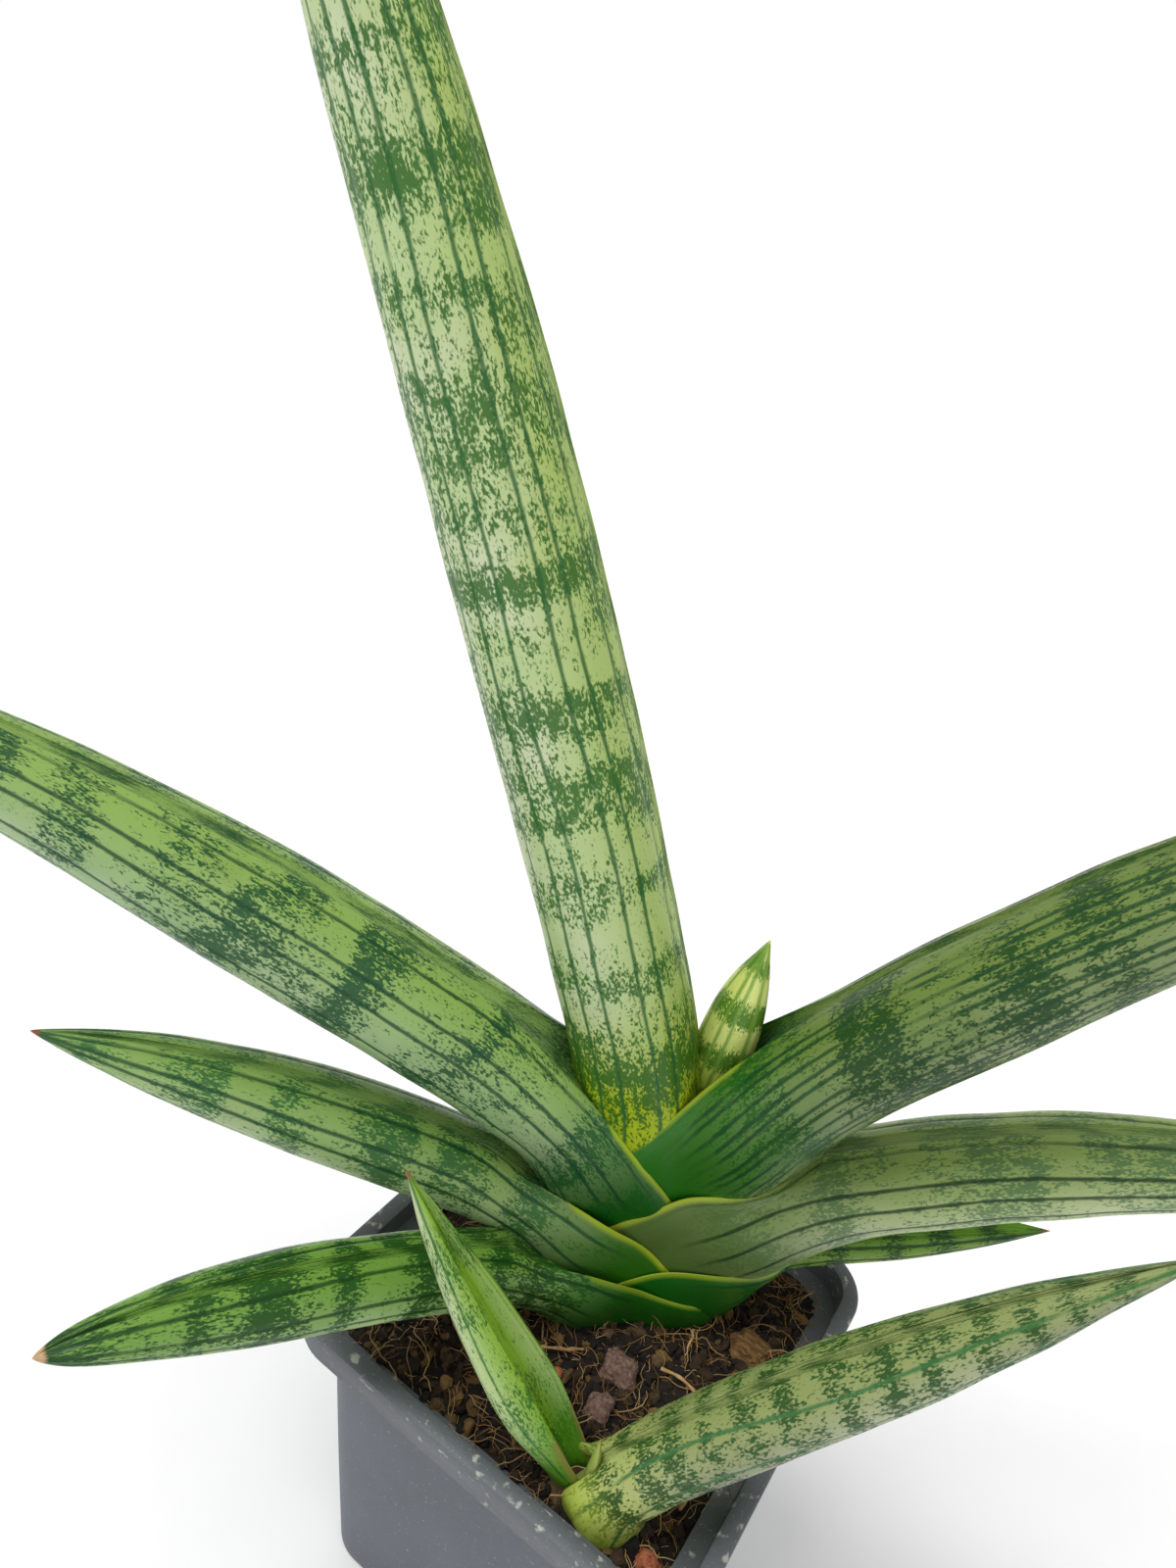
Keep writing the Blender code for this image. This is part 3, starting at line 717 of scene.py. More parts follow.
def fan_leaves() -> list[Leaf]:
    """Returns the old fan's leaves, youngest first."""
    # Living leaf under wax: satin skin, pale where cells lack green, dark where they lie in bands.
    spear = LeafFinish(
        "young_leaf_lime_banded", ground="#E2EE86", pale="#EAF29A", inner="#E0EE70", band="#4E8420",
        line="#86AC52", base="#B8D63C", arm="#8FBE2E", margin="#CBD95A", tip="#D9DA78",
        period=11, wave=1.1, patch=0.8, cover=-0.10, line_half=0.20)
    tall = LeafFinish(
        "leaf_skin_pale_banded", ground="#C2D69E", pale="#D4DEB8", inner="#B8D07C", band="#427238",
        line="#3F6E42", base="#B4C63A", arm="#8DB238", margin="#C5D350", tip="#8C6A45",
        period=18, wave=0.42, patch=1.1, cover=0.02)
    dusky_upper = LeafFinish(
        "leaf_skin_dusky_banded", ground="#7C9060", pale="#94A276", inner="#758A4C", band="#28502A",
        line="#30523A", base="#989470", arm="#3C7A1E", margin="#A9BC48", tip="#8C6A45",
        period=36, wave=0.55, patch=1.1, cover=0.02, line_half=0.30, line_break=0.5)
    green_upper = LeafFinish(
        "leaf_skin_green_banded", ground="#9EBA88", pale="#B2C69C", inner="#98B866", band="#2F5C42",
        line="#2A5540", base="#777A4E", arm="#1F6A02", margin="#A9C040", tip="#8C6A45",
        period=27, wave=0.5, patch=1.2, cover=-0.06)
    dusky_middle = LeafFinish(
        "leaf_skin_dusky_faintly_banded", ground="#B4C490", pale="#C0CCA0", inner="#9CB46A", band="#4C7452",
        line="#264A36", base="#A09E82", arm="#647E48", margin="#AFBE46", tip="#8C6A45",
        period=21, wave=0.5, patch=0.9, cover=-0.15, depth=0.72)
    green_middle = LeafFinish(
        "leaf_skin_green_faintly_banded", ground="#A6C086", pale="#B8CC9C", inner="#90B264", band="#386A42",
        line="#2B573E", base="#9E9C7A", arm="#44781F", margin="#A8BA3A", tip="#93603C",
        period=18, wave=0.45, patch=1.0, cover=-0.10, depth=0.85)
    deep_right = LeafFinish(
        "leaf_skin_deep_green_striped", ground="#82A050", pale="#93AC60", inner="#6E9A3C", band="#2C5034",
        line="#2B503A", base="#5E6F40", arm="#2C6A1C", margin="#9CB23E", tip="#93603C",
        period=11, wave=0.6, patch=0.9, cover=-0.15)
    deep_left = LeafFinish(
        "leaf_skin_deep_green_banded", ground="#8CAE6E", pale="#AAC48A", inner="#7CA450", band="#2A5830",
        line="#1E5030", base="#3C6234", arm="#386C28", margin="#8CA43A", tip="#CBA883",
        period=15, wave=0.6, patch=1.2, cover=0.12)
    foot = FAN_FOOT
    return [
        Leaf(
            "leaf_young_spear", spear, "leaf_young", foot,
            heading=250, step=0, lean=(0, -3, -5), bend=(10, 30), length=95, width=12.5, depth=8.5,
            clasp=3.2, flare=0.6, wrap=50, sheath=30, opening=30, sheath_wall=3.2, channel=26,
            fullest=0.72, taper=2.2, veins=5, vein_depth=0.10, base_from=38, base_fade=36, dry_tip=1.5,
            rings=110, around=120, seed=2,
        ),
        RoundLeaf(
            "leaf_tall_centre", tall, "leaf_centre", foot,
            heading=206, step=0, lean=(8, 24, 30), bend=(10, 90), length=320, width=27, depth=25,
            clasp=5.4, flare=3.0, wrap=108, sheath=20, opening=36, sheath_wall=3.2, base_from=44,
            base_fade=44, seed=3, rings=200, closing=(14, 60),
        ),
        RoundLeaf(
            "leaf_upper_right", dusky_upper, "leaf_dusky", foot,
            heading=8, step=0, lean=(-8, 28, 40), bend=(12, 50), length=225, width=27, depth=22,
            clasp=7.2, flare=4.4, wrap=124, sheath=40, opening=54, sheath_wall=3.2, fullest=0.42,
            veins=30, vein_depth=0.12, base_fade=70, seed=5, closing=(40, 100),
        ),
        RoundLeaf(
            "leaf_upper_left", green_upper, "leaf_green", foot,
            heading=214, step=0, lean=(10, 59, 72), bend=(12, 64), length=235, width=27, depth=23,
            clasp=8.8, flare=4.6, wrap=122, sheath=31, opening=38, sheath_wall=3.2, fullest=0.38,
            veins=13, base_fade=60, seed=6, closing=(36, 92),
        ),
        RoundLeaf(
            "leaf_middle_right", dusky_middle, "leaf_dusky", foot,
            heading=19, step=4.0, lean=(8, 46, 77), bend=(8, 40), length=165, width=23, depth=18,
            clasp=10.4, flare=4.6, wrap=130, sheath=20, opening=48, sheath_wall=3.0, fullest=0.40,
            veins=12, base_fade=52, seed=8, root_wrap=16, closing=(28, 66),
        ),
        RoundLeaf(
            "leaf_middle_left", green_middle, "leaf_green", foot,
            heading=222, step=6.0, lean=(18, 63, 75), bend=(4, 36), length=137, width=20, depth=16,
            clasp=12.0, flare=3.8, wrap=110, sheath=18, opening=28, sheath_wall=3.2, fullest=0.45,
            taper=2.2, veins=11, base_fade=46, seed=9, root_wrap=26, closing=(22, 58), blunt=0.85,
        ),
        RoundLeaf(
            "leaf_low_right", deep_right, "leaf_deep_green", foot,
            heading=29, step=9.0, lean=(16, 66, 73), bend=(2, 30), length=87, width=13, depth=9.4,
            clasp=13.0, flare=2.0, wrap=108, sheath=12, opening=24, sheath_wall=3.4, fullest=0.45,
            veins=9, base_fade=26, rings=120, seed=11, root_wrap=26, closing=(20, 44), shut=134,
        ),
        RoundLeaf(
            "leaf_low_left", deep_left, "leaf_deep_green", foot,
            heading=245, step=9.0, lean=(34, 61, 86), bend=(2, 26), length=122, width=15.5, depth=13,
            clasp=12.0, flare=2.0, wrap=100, sheath=9, opening=24, sheath_wall=3.8, fullest=0.50,
            taper=3.0, veins=9, base_fade=26, rings=130, seed=12, root_wrap=30, closing=(14, 44),
            blunt=0.72,
        ),
    ]


def pup_leaves() -> list[Leaf]:
    """Returns the pup's leaves, youngest first."""
    # Younger skin, thinner and yellower at the foot, where it hasn't seen the light.
    spike = LeafFinish(
        "pup_spike_pale_green", ground="#C6C97E", pale="#D2D28C", inner="#BFC96A", band="#8FAE50",
        line="#9DB55A", base="#C2B070", arm="#B5BE5C", margin="#CFCB80", tip="#C9A66A", cover=-1.2)
    channelled = LeafFinish(
        "pup_leaf_channelled", ground="#BACE94", pale="#CCD8AE", inner="#86AE3A", band="#3A6A20",
        line="#3C6E40", base="#8FA652", arm="#5F9A30", margin="#8E8A50", tip="#B4654C",
        period=22, wave=0.35, patch=1.5, cover=-0.30, line_half=0.18)
    mottled = LeafFinish(
        "pup_leaf_mottled", ground="#989E7E", pale="#B0B696", inner="#929E66", band="#34561F",
        line="#48764A", base="#CAD482", arm="#A9C04C", margin="#B9C25E", tip="#7C5A3C",
        period=8, wave=0.36, patch=1.2, cover=-0.06, line_half=0.24)
    foot = PUP_FOOT
    return [
        Leaf(
            "pup_spear", spike, "pup_leaf_skin", foot,
            heading=200, step=0, lean=(0, 4, 6), bend=(2, 12), length=24, width=4.2, depth=3.2,
            clasp=1.6, flare=0.2, wrap=30, sheath=6, opening=8, sheath_wall=1.6, channel=20,
            fullest=0.35, taper=1.8, veins=4, vein_depth=0.04, base_fade=10, dry_tip=2.0, rings=50,
            around=64, seed=14,
        ),
        RoundLeaf(
            "pup_leaf_left", channelled, "pup_leaf_skin", foot,
            heading=192, step=0, lean=(14, 43, 36), bend=(0, 24), length=79, width=13.0, depth=11.0,
            clasp=1.8, flare=0.6, wrap=128, sheath=5, opening=30, sheath_wall=1.5,
            fullest=0.35, taper=1.9, veins=4, vein_depth=0.12, base_fade=18, dry_tip=3.0, rings=120,
            around=180, seed=15, closing=(4, 40), shut=146, groove=3.6, level=0.0,
        ),
        RoundLeaf(
            "pup_leaf_right", mottled, "pup_leaf_skin", foot,
            heading=24, step=0, lean=(17, 33, 39), bend=(0, 39), length=123, width=15.0, depth=13,
            clasp=6.2, flare=0.4, wrap=150, sheath=4, opening=14, sheath_wall=3.6,
            fullest=0.40, taper=2.1, veins=5, base_fade=30, rings=140, around=200, seed=16,
            closing=(1, 22),
        ),
    ]


# ---------------------------------------------------------------- pot
@dataclass(frozen=True)
class PotFinish:
    """Injection-moulded polypropylene, dark grey, dulled by handling and limescale."""

    body: str = "#4C525B"
    dusty: str = "#666B74"
    scale: str = "#C4C2B8"
    collar: str = "#5C6064"

    def build(self) -> bpy.types.Material:
        """Builds the pot's material from the height and from noise on object coordinates.

        Returns:
            The material.
        """
        made = new_material("moulded_polypropylene_scuffed")
        tree = made.node_tree
        place = add_node(tree, "ShaderNodeTexCoord")["Object"]
        height = add_node(tree, "ShaderNodeSeparateXYZ", {0: place})[2]
        table = {
            "cloud": ((45, 45, 45), 4.0),  # dust in patches of 20 mm
            "crust": ((380, 380, 520), 6.0),  # limescale flakes of 2 to 3 mm
            "scratch": ((700, 700, 60), 3.0),  # upright rubs about 1 mm apart
            "grit": ((1700, 1700, 1700), 3.0),  # moulded grain and dust, 0.6 mm
        }
        grains = grains_of(tree, place, table)
        collar = add_node(tree, SPAN, {"Value": height, "From Min": 0.0775, "From Max": 0.0800})[0]
        upper = add_node(tree, SPAN, {"Value": height, "From Min": 0.070, "From Max": 0.0862,
            "To Min": -0.10, "To Max": 0.055})[0]
        crusted = add_node(tree, MATH, {0: grains["crust"], 1: upper}, operation="ADD")[0]
        crusted = add_node(
            tree, SPAN, {"Value": crusted, "From Min": 0.65, "From Max": 0.73, "To Max": 0.7})[0]
        dusted = add_node(
            tree, SPAN, {"Value": grains["cloud"], "From Min": 0.40, "From Max": 0.68, "To Max": 0.8})[0]
        rubbed = add_node(
            tree, SPAN, {"Value": grains["scratch"], "From Min": 0.62, "From Max": 0.74, "To Max": 0.4})[0]
        speck = add_node(
            tree, SPAN, {"Value": grains["grit"], "From Min": 0.66, "From Max": 0.74, "To Max": 0.5})[0]
        layers = ((self.dusty, dusted), (self.collar, collar), (self.dusty, rubbed), (self.scale, speck),
                  (self.scale, crusted))
        colour = layered(tree, linear(self.body), tuple((linear(shade), mask) for shade, mask in layers))
        gloss = add_node(tree, SPAN, {"Value": grains["cloud"], "From Min": 0.3, "From Max": 0.7,
            "To Min": 0.42, "To Max": 0.62})[0]
        rough = add_node(tree, MATH, {0: crusted, 1: 0.5, 2: grains["grit"]}, operation="MULTIPLY_ADD")[0]
        bump = add_node(tree, "ShaderNodeBump", {"Height": rough, "Strength": 0.4, "Distance": 0.00025})
        shader = add_node(tree, "ShaderNodeBsdfPrincipled",
            {"Base Color": colour, "Roughness": gloss, "Normal": bump[0], "IOR": 1.49})
        add_node(tree, "ShaderNodeOutputMaterial", {"Surface": shader[0]})
        return made


@dataclass
class NurseryPot:
    """Square tapered pot: plain walls, a collar round the mouth and four drain holes."""

    width: float = 90.0
    height: float = 87.0
    foot: float = 64.0
    overhang: float = 6.0
    lip: float = 3.8
    collar: float = 7.5
    wall: float = 1.5
    floor: float = 2.0
    rim_corner: float = 11.5
    corner_steps: int = 14
    drain: float = 7.0
    drain_pitch: float = 36.0

    def wall_half(self, z: float) -> float:
        """Returns half the body's outer width at a height."""
        top = self.height - self.collar
        return self.foot / 2 + (self.width / 2 - self.overhang - self.foot / 2) / top * z

    def ring(self, half: float, corner: float, z: float) -> list[tuple[float, float, float]]:
        """Returns one level loop of the rounded square, from the +X side round by +Y."""
        made = []
        for quarter in range(4):
            turn = Matrix.Rotation(quarter * math.pi / 2, 2)
            for side in range(6):
                made.append(turn @ Vector((half, (half - corner) * (side / 3 - 1))))
            for step in range(self.corner_steps):
                a = math.pi / 2 * step / self.corner_steps
                middle = half - corner
                made.append(turn @ Vector((middle + corner * math.cos(a), middle + corner * math.sin(a))))
        return [(p.x, p.y, z) for p in made]

    def build(self) -> bpy.types.Object:
        """Builds and dresses the pot.

        Returns:
            The pot's object.
        """
        # Each level is half a width, a corner radius and a height: up the outside, over the rim, down inside.
        rim, top = self.width / 2, self.height
        under = top - self.collar
        corner = self.rim_corner - 2.5
        levels = [(self.foot / 2 - 0.9, corner - 0.9, 0.0), (self.foot / 2 - 0.25, corner - 0.25, 0.25)]
        for z in (0.9, 3, 8, 16, 26, 36, 46, 56, 64, 70, 75, 78, under - 0.35):
            levels.append((self.wall_half(z), corner, z))
        levels += [
            (self.wall_half(under) + 0.4, corner + 0.2, under),
            (rim - 1.1, self.rim_corner - 0.6, under),
            (rim - 0.8, self.rim_corner - 0.3, under + 0.3),
            (rim - 0.75, self.rim_corner - 0.3, under + 2.2),
            (rim - 0.35, self.rim_corner, under + 2.8),
            (rim - 0.1, self.rim_corner, top - 1.0),
            (rim - 0.25, self.rim_corner - 0.1, top - 0.35),
            (rim - 0.8, self.rim_corner - 0.6, top),
            (rim - self.lip + 0.9, self.rim_corner - self.lip + 0.9, top),
            (rim - self.lip + 0.2, self.rim_corner - self.lip + 0.2, top - 0.3),
            (rim - self.lip, self.rim_corner - self.lip, top - 1.0),
            (rim - self.lip - 0.1, self.rim_corner - self.lip, under + self.wall + 0.2),
            (self.wall_half(under) - self.wall, corner - self.wall, under + self.wall - 0.2),
        ]
        for z in (74, 60, 45, 30, 15, 4):
            levels.append((self.wall_half(z) - self.wall, corner - self.wall, z))
        levels.append((self.wall_half(2) - self.wall - 0.8, corner - self.wall - 0.8, self.floor))
        points = []
        for half, radius, z in levels:
            points.extend(self.ring(half, radius, z))
        n = len(points) // len(levels)
        faces = ring_faces(len(levels), n)
        faces.append(list(range(n))[::-1])
        faces.append([(len(levels) - 1) * n + k for k in range(n)])
        # Thin moulded walls warp a little as they cool.
        warped = np.array(points)
        sway = np.sin(warped[:, 2:3] / 30) * np.sin(warped[:, :2] / 17)
        warped[:, :2] += 0.18 * sway[:, ::-1]
        body = mesh_object("pot_loft", warped, faces)
        drill = bmesh.new()
        bore = self.drain / 2 * MM
        for x in (-self.drain_pitch / 2, self.drain_pitch / 2):
            for y in (-self.drain_pitch / 2, self.drain_pitch / 2):
                bmesh.ops.create_cone(
                    drill, cap_ends=True, segments=32, radius1=bore, radius2=bore,
                    depth=8 * MM, matrix=Matrix.Translation(Vector((x, y, 1.0)) * MM))
        holes = bpy.data.meshes.new("drain_holes")
        drill.to_mesh(holes)
        drill.free()
        cutter = new_object("drain_holes", holes)
        cut = body.modifiers.new("drain holes", "BOOLEAN")
        cut.operation = "DIFFERENCE"
        cut.solver = "EXACT"
        cut.object = cutter
        made = baked(body, "nursery_pot")
        bpy.data.objects.remove(cutter, do_unlink=True)
        made.data.set_sharp_from_angle(angle=math.radians(40))
        hand_over(made, PotFinish().build(), "pot_plastic", "pot")
        return made


# ---------------------------------------------------------------- soil
class Grit(Enum):
    """What the loose pieces on the soil are made of."""

    PUMICE = "pumice"
    BARK = "bark"
    BRICK = "brick"


@dataclass(frozen=True)
class EarthFinish:
    """Rough natural matter whose colour runs between shades, by noise and by each grain's tint."""

    name: str
    shades: tuple[str, ...]
    grain: float = 1.2  # size of its colour patches
    stretch: float = 1.0  # over 1 for matter with fibres along X
    pitted: float = 0.3
    roughness: float = 0.9
    tinted: bool = False

    def build(self) -> bpy.types.Material:
        """Builds the material.

        Returns:
            The material. It reads object coordinates, and the attribute tint where grains carry one.
        """
        made = new_material(self.name)
        tree = made.node_tree
        place = add_node(tree, "ShaderNodeTexCoord")["Object"]
        per_metre = 1 / (self.grain * MM)
        placed = add_node(
            tree, MAPPING, {"Vector": place, "Scale": (per_metre / self.stretch, per_metre, per_metre)})[0]
        mottle = add_node(
            tree, NOISE, {"Vector": placed, "Scale": 1.0, "Detail": 5.0, "Roughness": 0.65})["Fac"]
        if self.tinted:
            tint = add_node(tree, ATTRIBUTE, attribute_name="tint")["Fac"]
            share = add_node(tree, MATH, {0: mottle, 1: 0.55, 2: -0.275}, operation="MULTIPLY_ADD")[0]
            share = add_node(tree, MATH, {0: share, 1: tint}, operation="ADD")[0]
        else:
            share = add_node(tree, SPAN, {"Value": mottle, "From Min": 0.32, "From Max": 0.68})[0]
        ramp = add_node(tree, "ShaderNodeValToRGB", {0: share})
        stops = ramp[0].node.color_ramp.elements
        while len(stops) < len(self.shades):
            stops.new(0.5)
        for i, (stop, shade) in enumerate(zip(stops, self.shades)):
            stop.position = i / (len(self.shades) - 1)
            stop.color = linear(shade)
        bump = add_node(
            tree, "ShaderNodeBump", {"Height": mottle, "Strength": 0.8, "Distance": self.pitted * MM})
        shader = add_node(tree, "ShaderNodeBsdfPrincipled",
            {"Base Color": ramp[0], "Roughness": self.roughness, "Normal": bump[0]})
        add_node(tree, "ShaderNodeOutputMaterial", {"Surface": shader[0]})
        return made


@dataclass
class Scatter:
    """Geometry Nodes that strew grains or fibres over a surface; its sizes are named inputs."""

    name: str
    per_cm2: float
    size: float  # length of a fibre, or width of a grain
    seed: int
    fibres: bool = False
    thickness: float = 0.24  # of a fibre
    wander: float = 1.6  # how far noise pulls the surface or the strand about
    lumps: int = 2  # how often a grain's faces are split

    def tree(self, finish: bpy.types.Material) -> tuple[bpy.types.NodeTree, dict[str, str]]:
        """Builds the node tree.

        Args:
            finish: the pieces' material.

        Returns:
            The tree, and each named input's identifier.
        """
        tree, names, given = geometry_tree(self.name, "Density", "Size", "Wander", "Thickness", "Seed")
        spots = add_node(tree, "GeometryNodeDistributePointsOnFaces",
            {"Mesh": given["Geometry"], "Density": given["Density"], "Seed": given["Seed"]})
        if self.fibres:
            shape = add_node(tree, "GeometryNodeCurveQuadraticBezier",
                {"Resolution": 24, "Start": (-0.5, 0, -0.05), "Middle": (0.0, 0.35, 0.30),
                "End": (0.5, 0, 0.0)})[0]
            low, high, tilt = (0.4, 0.4, 0.3), (1.5, 1.5, 1.1), 0.5
        else:
            shape = add_node(
                tree, "GeometryNodeMeshIcoSphere", {"Radius": 0.5, "Subdivisions": self.lumps})[0]
            low, high, tilt = (0.5, 0.4, 0.3), (1.6, 1.1, 0.9), 3.1
        scale = add_node(tree, "FunctionNodeRandomValue", {0: low, 1: high, 8: given["Seed"]},
            data_type="FLOAT_VECTOR")[0]
        scale = add_node(tree, VECTOR, {0: scale, 3: given["Size"]}, operation="SCALE")[0]
        turn = add_node(tree, "FunctionNodeRandomValue",
            {0: (-tilt, -tilt, 0), 1: (tilt, tilt, 6.28), 8: 7}, data_type="FLOAT_VECTOR")[0]
        turn = add_node(tree, "FunctionNodeEulerToRotation", {0: turn})[0]
        strewn = add_node(tree, "GeometryNodeInstanceOnPoints",
            {"Points": spots[0], "Instance": shape, "Rotation": turn, "Scale": scale})
        chance = add_node(tree, "FunctionNodeRandomValue", {2: 0.0, 3: 1.0, 8: 21}, data_type="FLOAT")[1]
        tinted = add_node(tree, "GeometryNodeStoreNamedAttribute",
            {"Geometry": strewn[0], "Name": "tint", "Value": chance}, data_type="FLOAT", domain="INSTANCE")
        real = add_node(tree, "GeometryNodeRealizeInstances", {"Geometry": tinted[0]})[0]
        ragged = add_node(tree, NOISE, {"Scale": 150.0 if self.fibres else 700.0, "Detail": 2.0})["Color"]
        ragged = add_node(tree, VECTOR, {0: ragged, 1: (0.5, 0.5, 0.5)}, operation="SUBTRACT")[0]
        ragged = add_node(tree, VECTOR, {0: ragged, 3: given["Wander"]}, operation="SCALE")[0]
        moved = add_node(tree, "GeometryNodeSetPosition", {"Geometry": real, "Offset": ragged})[0]
        if self.fibres:
            round_bar = add_node(tree, "GeometryNodeCurvePrimitiveCircle",
                {"Resolution": 4, "Radius": given["Thickness"]})[0]
            moved = add_node(tree, "GeometryNodeCurveToMesh",
                {"Curve": moved, "Profile Curve": round_bar, "Fill Caps": True})[0]
        end_tree(tree, moved, finish)
        return tree, names

    def over(self, ground: bpy.types.Object, finish: bpy.types.Material, slot: str) -> bpy.types.Object:
        """Strews the pieces over a copy of the ground and dresses them.

        Args:
            ground: the surface, which is left as it is.
            finish: the pieces' material.
            slot: the material slot's name, handed on to hand_over.

        Returns:
            The plain object that holds them all.
        """
        holder = new_object(f"{self.name}_ground", ground.data.copy())
        tree, names = self.tree(finish)
        live = holder.modifiers.new(self.name, "NODES")
        live.node_group = tree
        for label, value in (
            ("Density", self.per_cm2 * 1e4),
            ("Size", self.size * MM),
            ("Wander", self.wander * MM),
            ("Thickness", self.thickness * MM / 2),
            ("Seed", self.seed),
        ):
            live[names[label]] = value
        made = baked(holder, self.name)
        hand_over(made, finish, slot)
        return made


@dataclass
class Soil:
    """Coco-peat mix filling the pot, with crumbs, fibres, chips and loose roots on it."""

    level: float = SOIL_TOP
    half: float = 37.5
    corner: float = 7.4
    bottom_half: float = 30.4
    cells: int = 150  # squares along each side of its surface

    def height(self, x: float, y: float) -> float:
        """Returns the surface's height at a place, all in millimetres."""
        # Each row: how high the bumps are, how many to a millimetre, and a level of the noise of their own.
        bumps = ((1.6, 0.055, 2.7), (0.8, 0.13, 9.1), (0.9, 0.34, 4.4), (0.55, 0.9, 1.2))
        return self.level + sum(tall * noise.noise(Vector((x * often, y * often, own)))
                                for tall, often, own in bumps)

    def rounded(self, x: float, y: float) -> tuple[float, float]:
        """Returns the place pulled in to the pot's rounded corner, if it lies outside it."""
        inner = self.half - self.corner
        dx, dy = max(abs(x) - inner, 0.0), max(abs(y) - inner, 0.0)
        far = math.hypot(dx, dy)
        if dx and dy and far > self.corner:
            x = math.copysign(inner + dx / far * self.corner, x)
            y = math.copysign(inner + dy / far * self.corner, y)
        return x, y

    def build(self) -> None:
        """Builds the soil's body, then strews and lays what is on it."""
        n = self.cells
        points, faces = [], []
        for i in range(n + 1):
            for j in range(n + 1):
                x, y = self.rounded((2 * i / n - 1) * self.half, (2 * j / n - 1) * self.half)
                points.append((x, y, self.height(x, y)))
        for i in range(n):
            for j in range(n):
                a = i * (n + 1) + j
                faces.append([a, a + n + 1, a + n + 2, a + 1])
        top = mesh_object("soil_surface", np.array(points), faces)
        edge = [i * (n + 1) for i in range(n)] + [n * (n + 1) + j for j in range(n)]
        edge += [i * (n + 1) + n for i in range(n, 0, -1)] + list(range(n, 0, -1))
        share = self.bottom_half / self.half
        first = len(points)
        points += [(points[k][0] * share, points[k][1] * share, 2.4) for k in edge]
        for k in range(len(edge)):
            nxt = (k + 1) % len(edge)
            faces.append([edge[nxt], edge[k], first + k, first + nxt])
        faces.append([first + k for k in range(len(edge))][::-1])
        body = mesh_object("potting_mix", np.array(points), faces)
        # Damp coco peat is nearly black and matt, chips and dead roots in it dry to brown and straw.
        peat = EarthFinish("coco_peat_damp", ("#0C0704", "#1A110A", "#2A1C11"), grain=1.4, pitted=0.5)
        hand_over(body, peat.build(), "potting_mix", "soil")

        crumbs = EarthFinish(
            "coco_peat_crumbs", ("#0A0704", "#181009", "#261A0F", "#382714", "#665030"),
            grain=0.9, tinted=True)
        chips = EarthFinish(
            "bark_and_grit_crumbs", ("#2A1D10", "#463218", "#6A5028", "#7C6234", "#6C4C40"),
            grain=0.8, tinted=True)
        hair = EarthFinish(
            "dead_root_fibres", ("#6A4A28", "#98713E", "#BA945A", "#D6B888"),
            grain=2.0, tinted=True, pitted=0.05)
        fine, coarse, roots = crumbs.build(), chips.build(), hair.build()
        Scatter("peat_crumbs_fine", per_cm2=42, size=1.5, seed=4, wander=0.7, lumps=1).over(
            top, fine, "potting_mix")
        Scatter("peat_crumbs_coarse", per_cm2=8, size=3.4, seed=9, wander=2.4).over(top, fine, "potting_mix")
        Scatter("bark_crumbs", per_cm2=2.4, size=3.4, seed=15, wander=2.4).over(top, coarse, "bark_chip")
        Scatter(
            "root_fibres_fine", per_cm2=15, size=8.0, seed=22, fibres=True, thickness=0.11, wander=5.5
        ).over(top, roots, "root_fibre")
        Scatter(
            "root_fibres_long", per_cm2=2.6, size=17.0, seed=31, fibres=True, thickness=0.19, wander=8.5
        ).over(top, roots, "root_fibre")
        bpy.data.objects.remove(top, do_unlink=True)
        self.lay_chips()
        self.lay_roots()

    def lay_chips(self) -> None:
        """Lays the bark, pumice and brick pieces where their solids lie."""
        # Pumice is pitted and dusty, bark lies in fibres along its length, broken brick is finely rough.
        pumice = EarthFinish(
            "pumice_dusty_pink", ("#4A342C", "#745A4E", "#97796C"), grain=0.9, pitted=0.35).build()
        bark = EarthFinish(
            "composted_pine_bark", ("#3A2716", "#6A4B26", "#8E6E3C"),
            grain=0.8, stretch=3.5, pitted=0.3).build()
        brick = EarthFinish(
            "broken_brick", ("#7A3E28", "#A55C3C", "#B87858"), grain=0.7, pitted=0.2).build()
        for node, kind, seed in (
            ("pumice_by_fan", Grit.PUMICE, 3),
            ("pumice_middle", Grit.PUMICE, 8),
            ("bark_chip_right", Grit.BARK, 13),
            ("bark_chip_by_rim", Grit.BARK, 21),
            ("bark_chip_left", Grit.BARK, 34),
            ("brick_bit_front", Grit.BRICK, 55),
            ("brick_bit_middle", Grit.BRICK, 89),
        ):
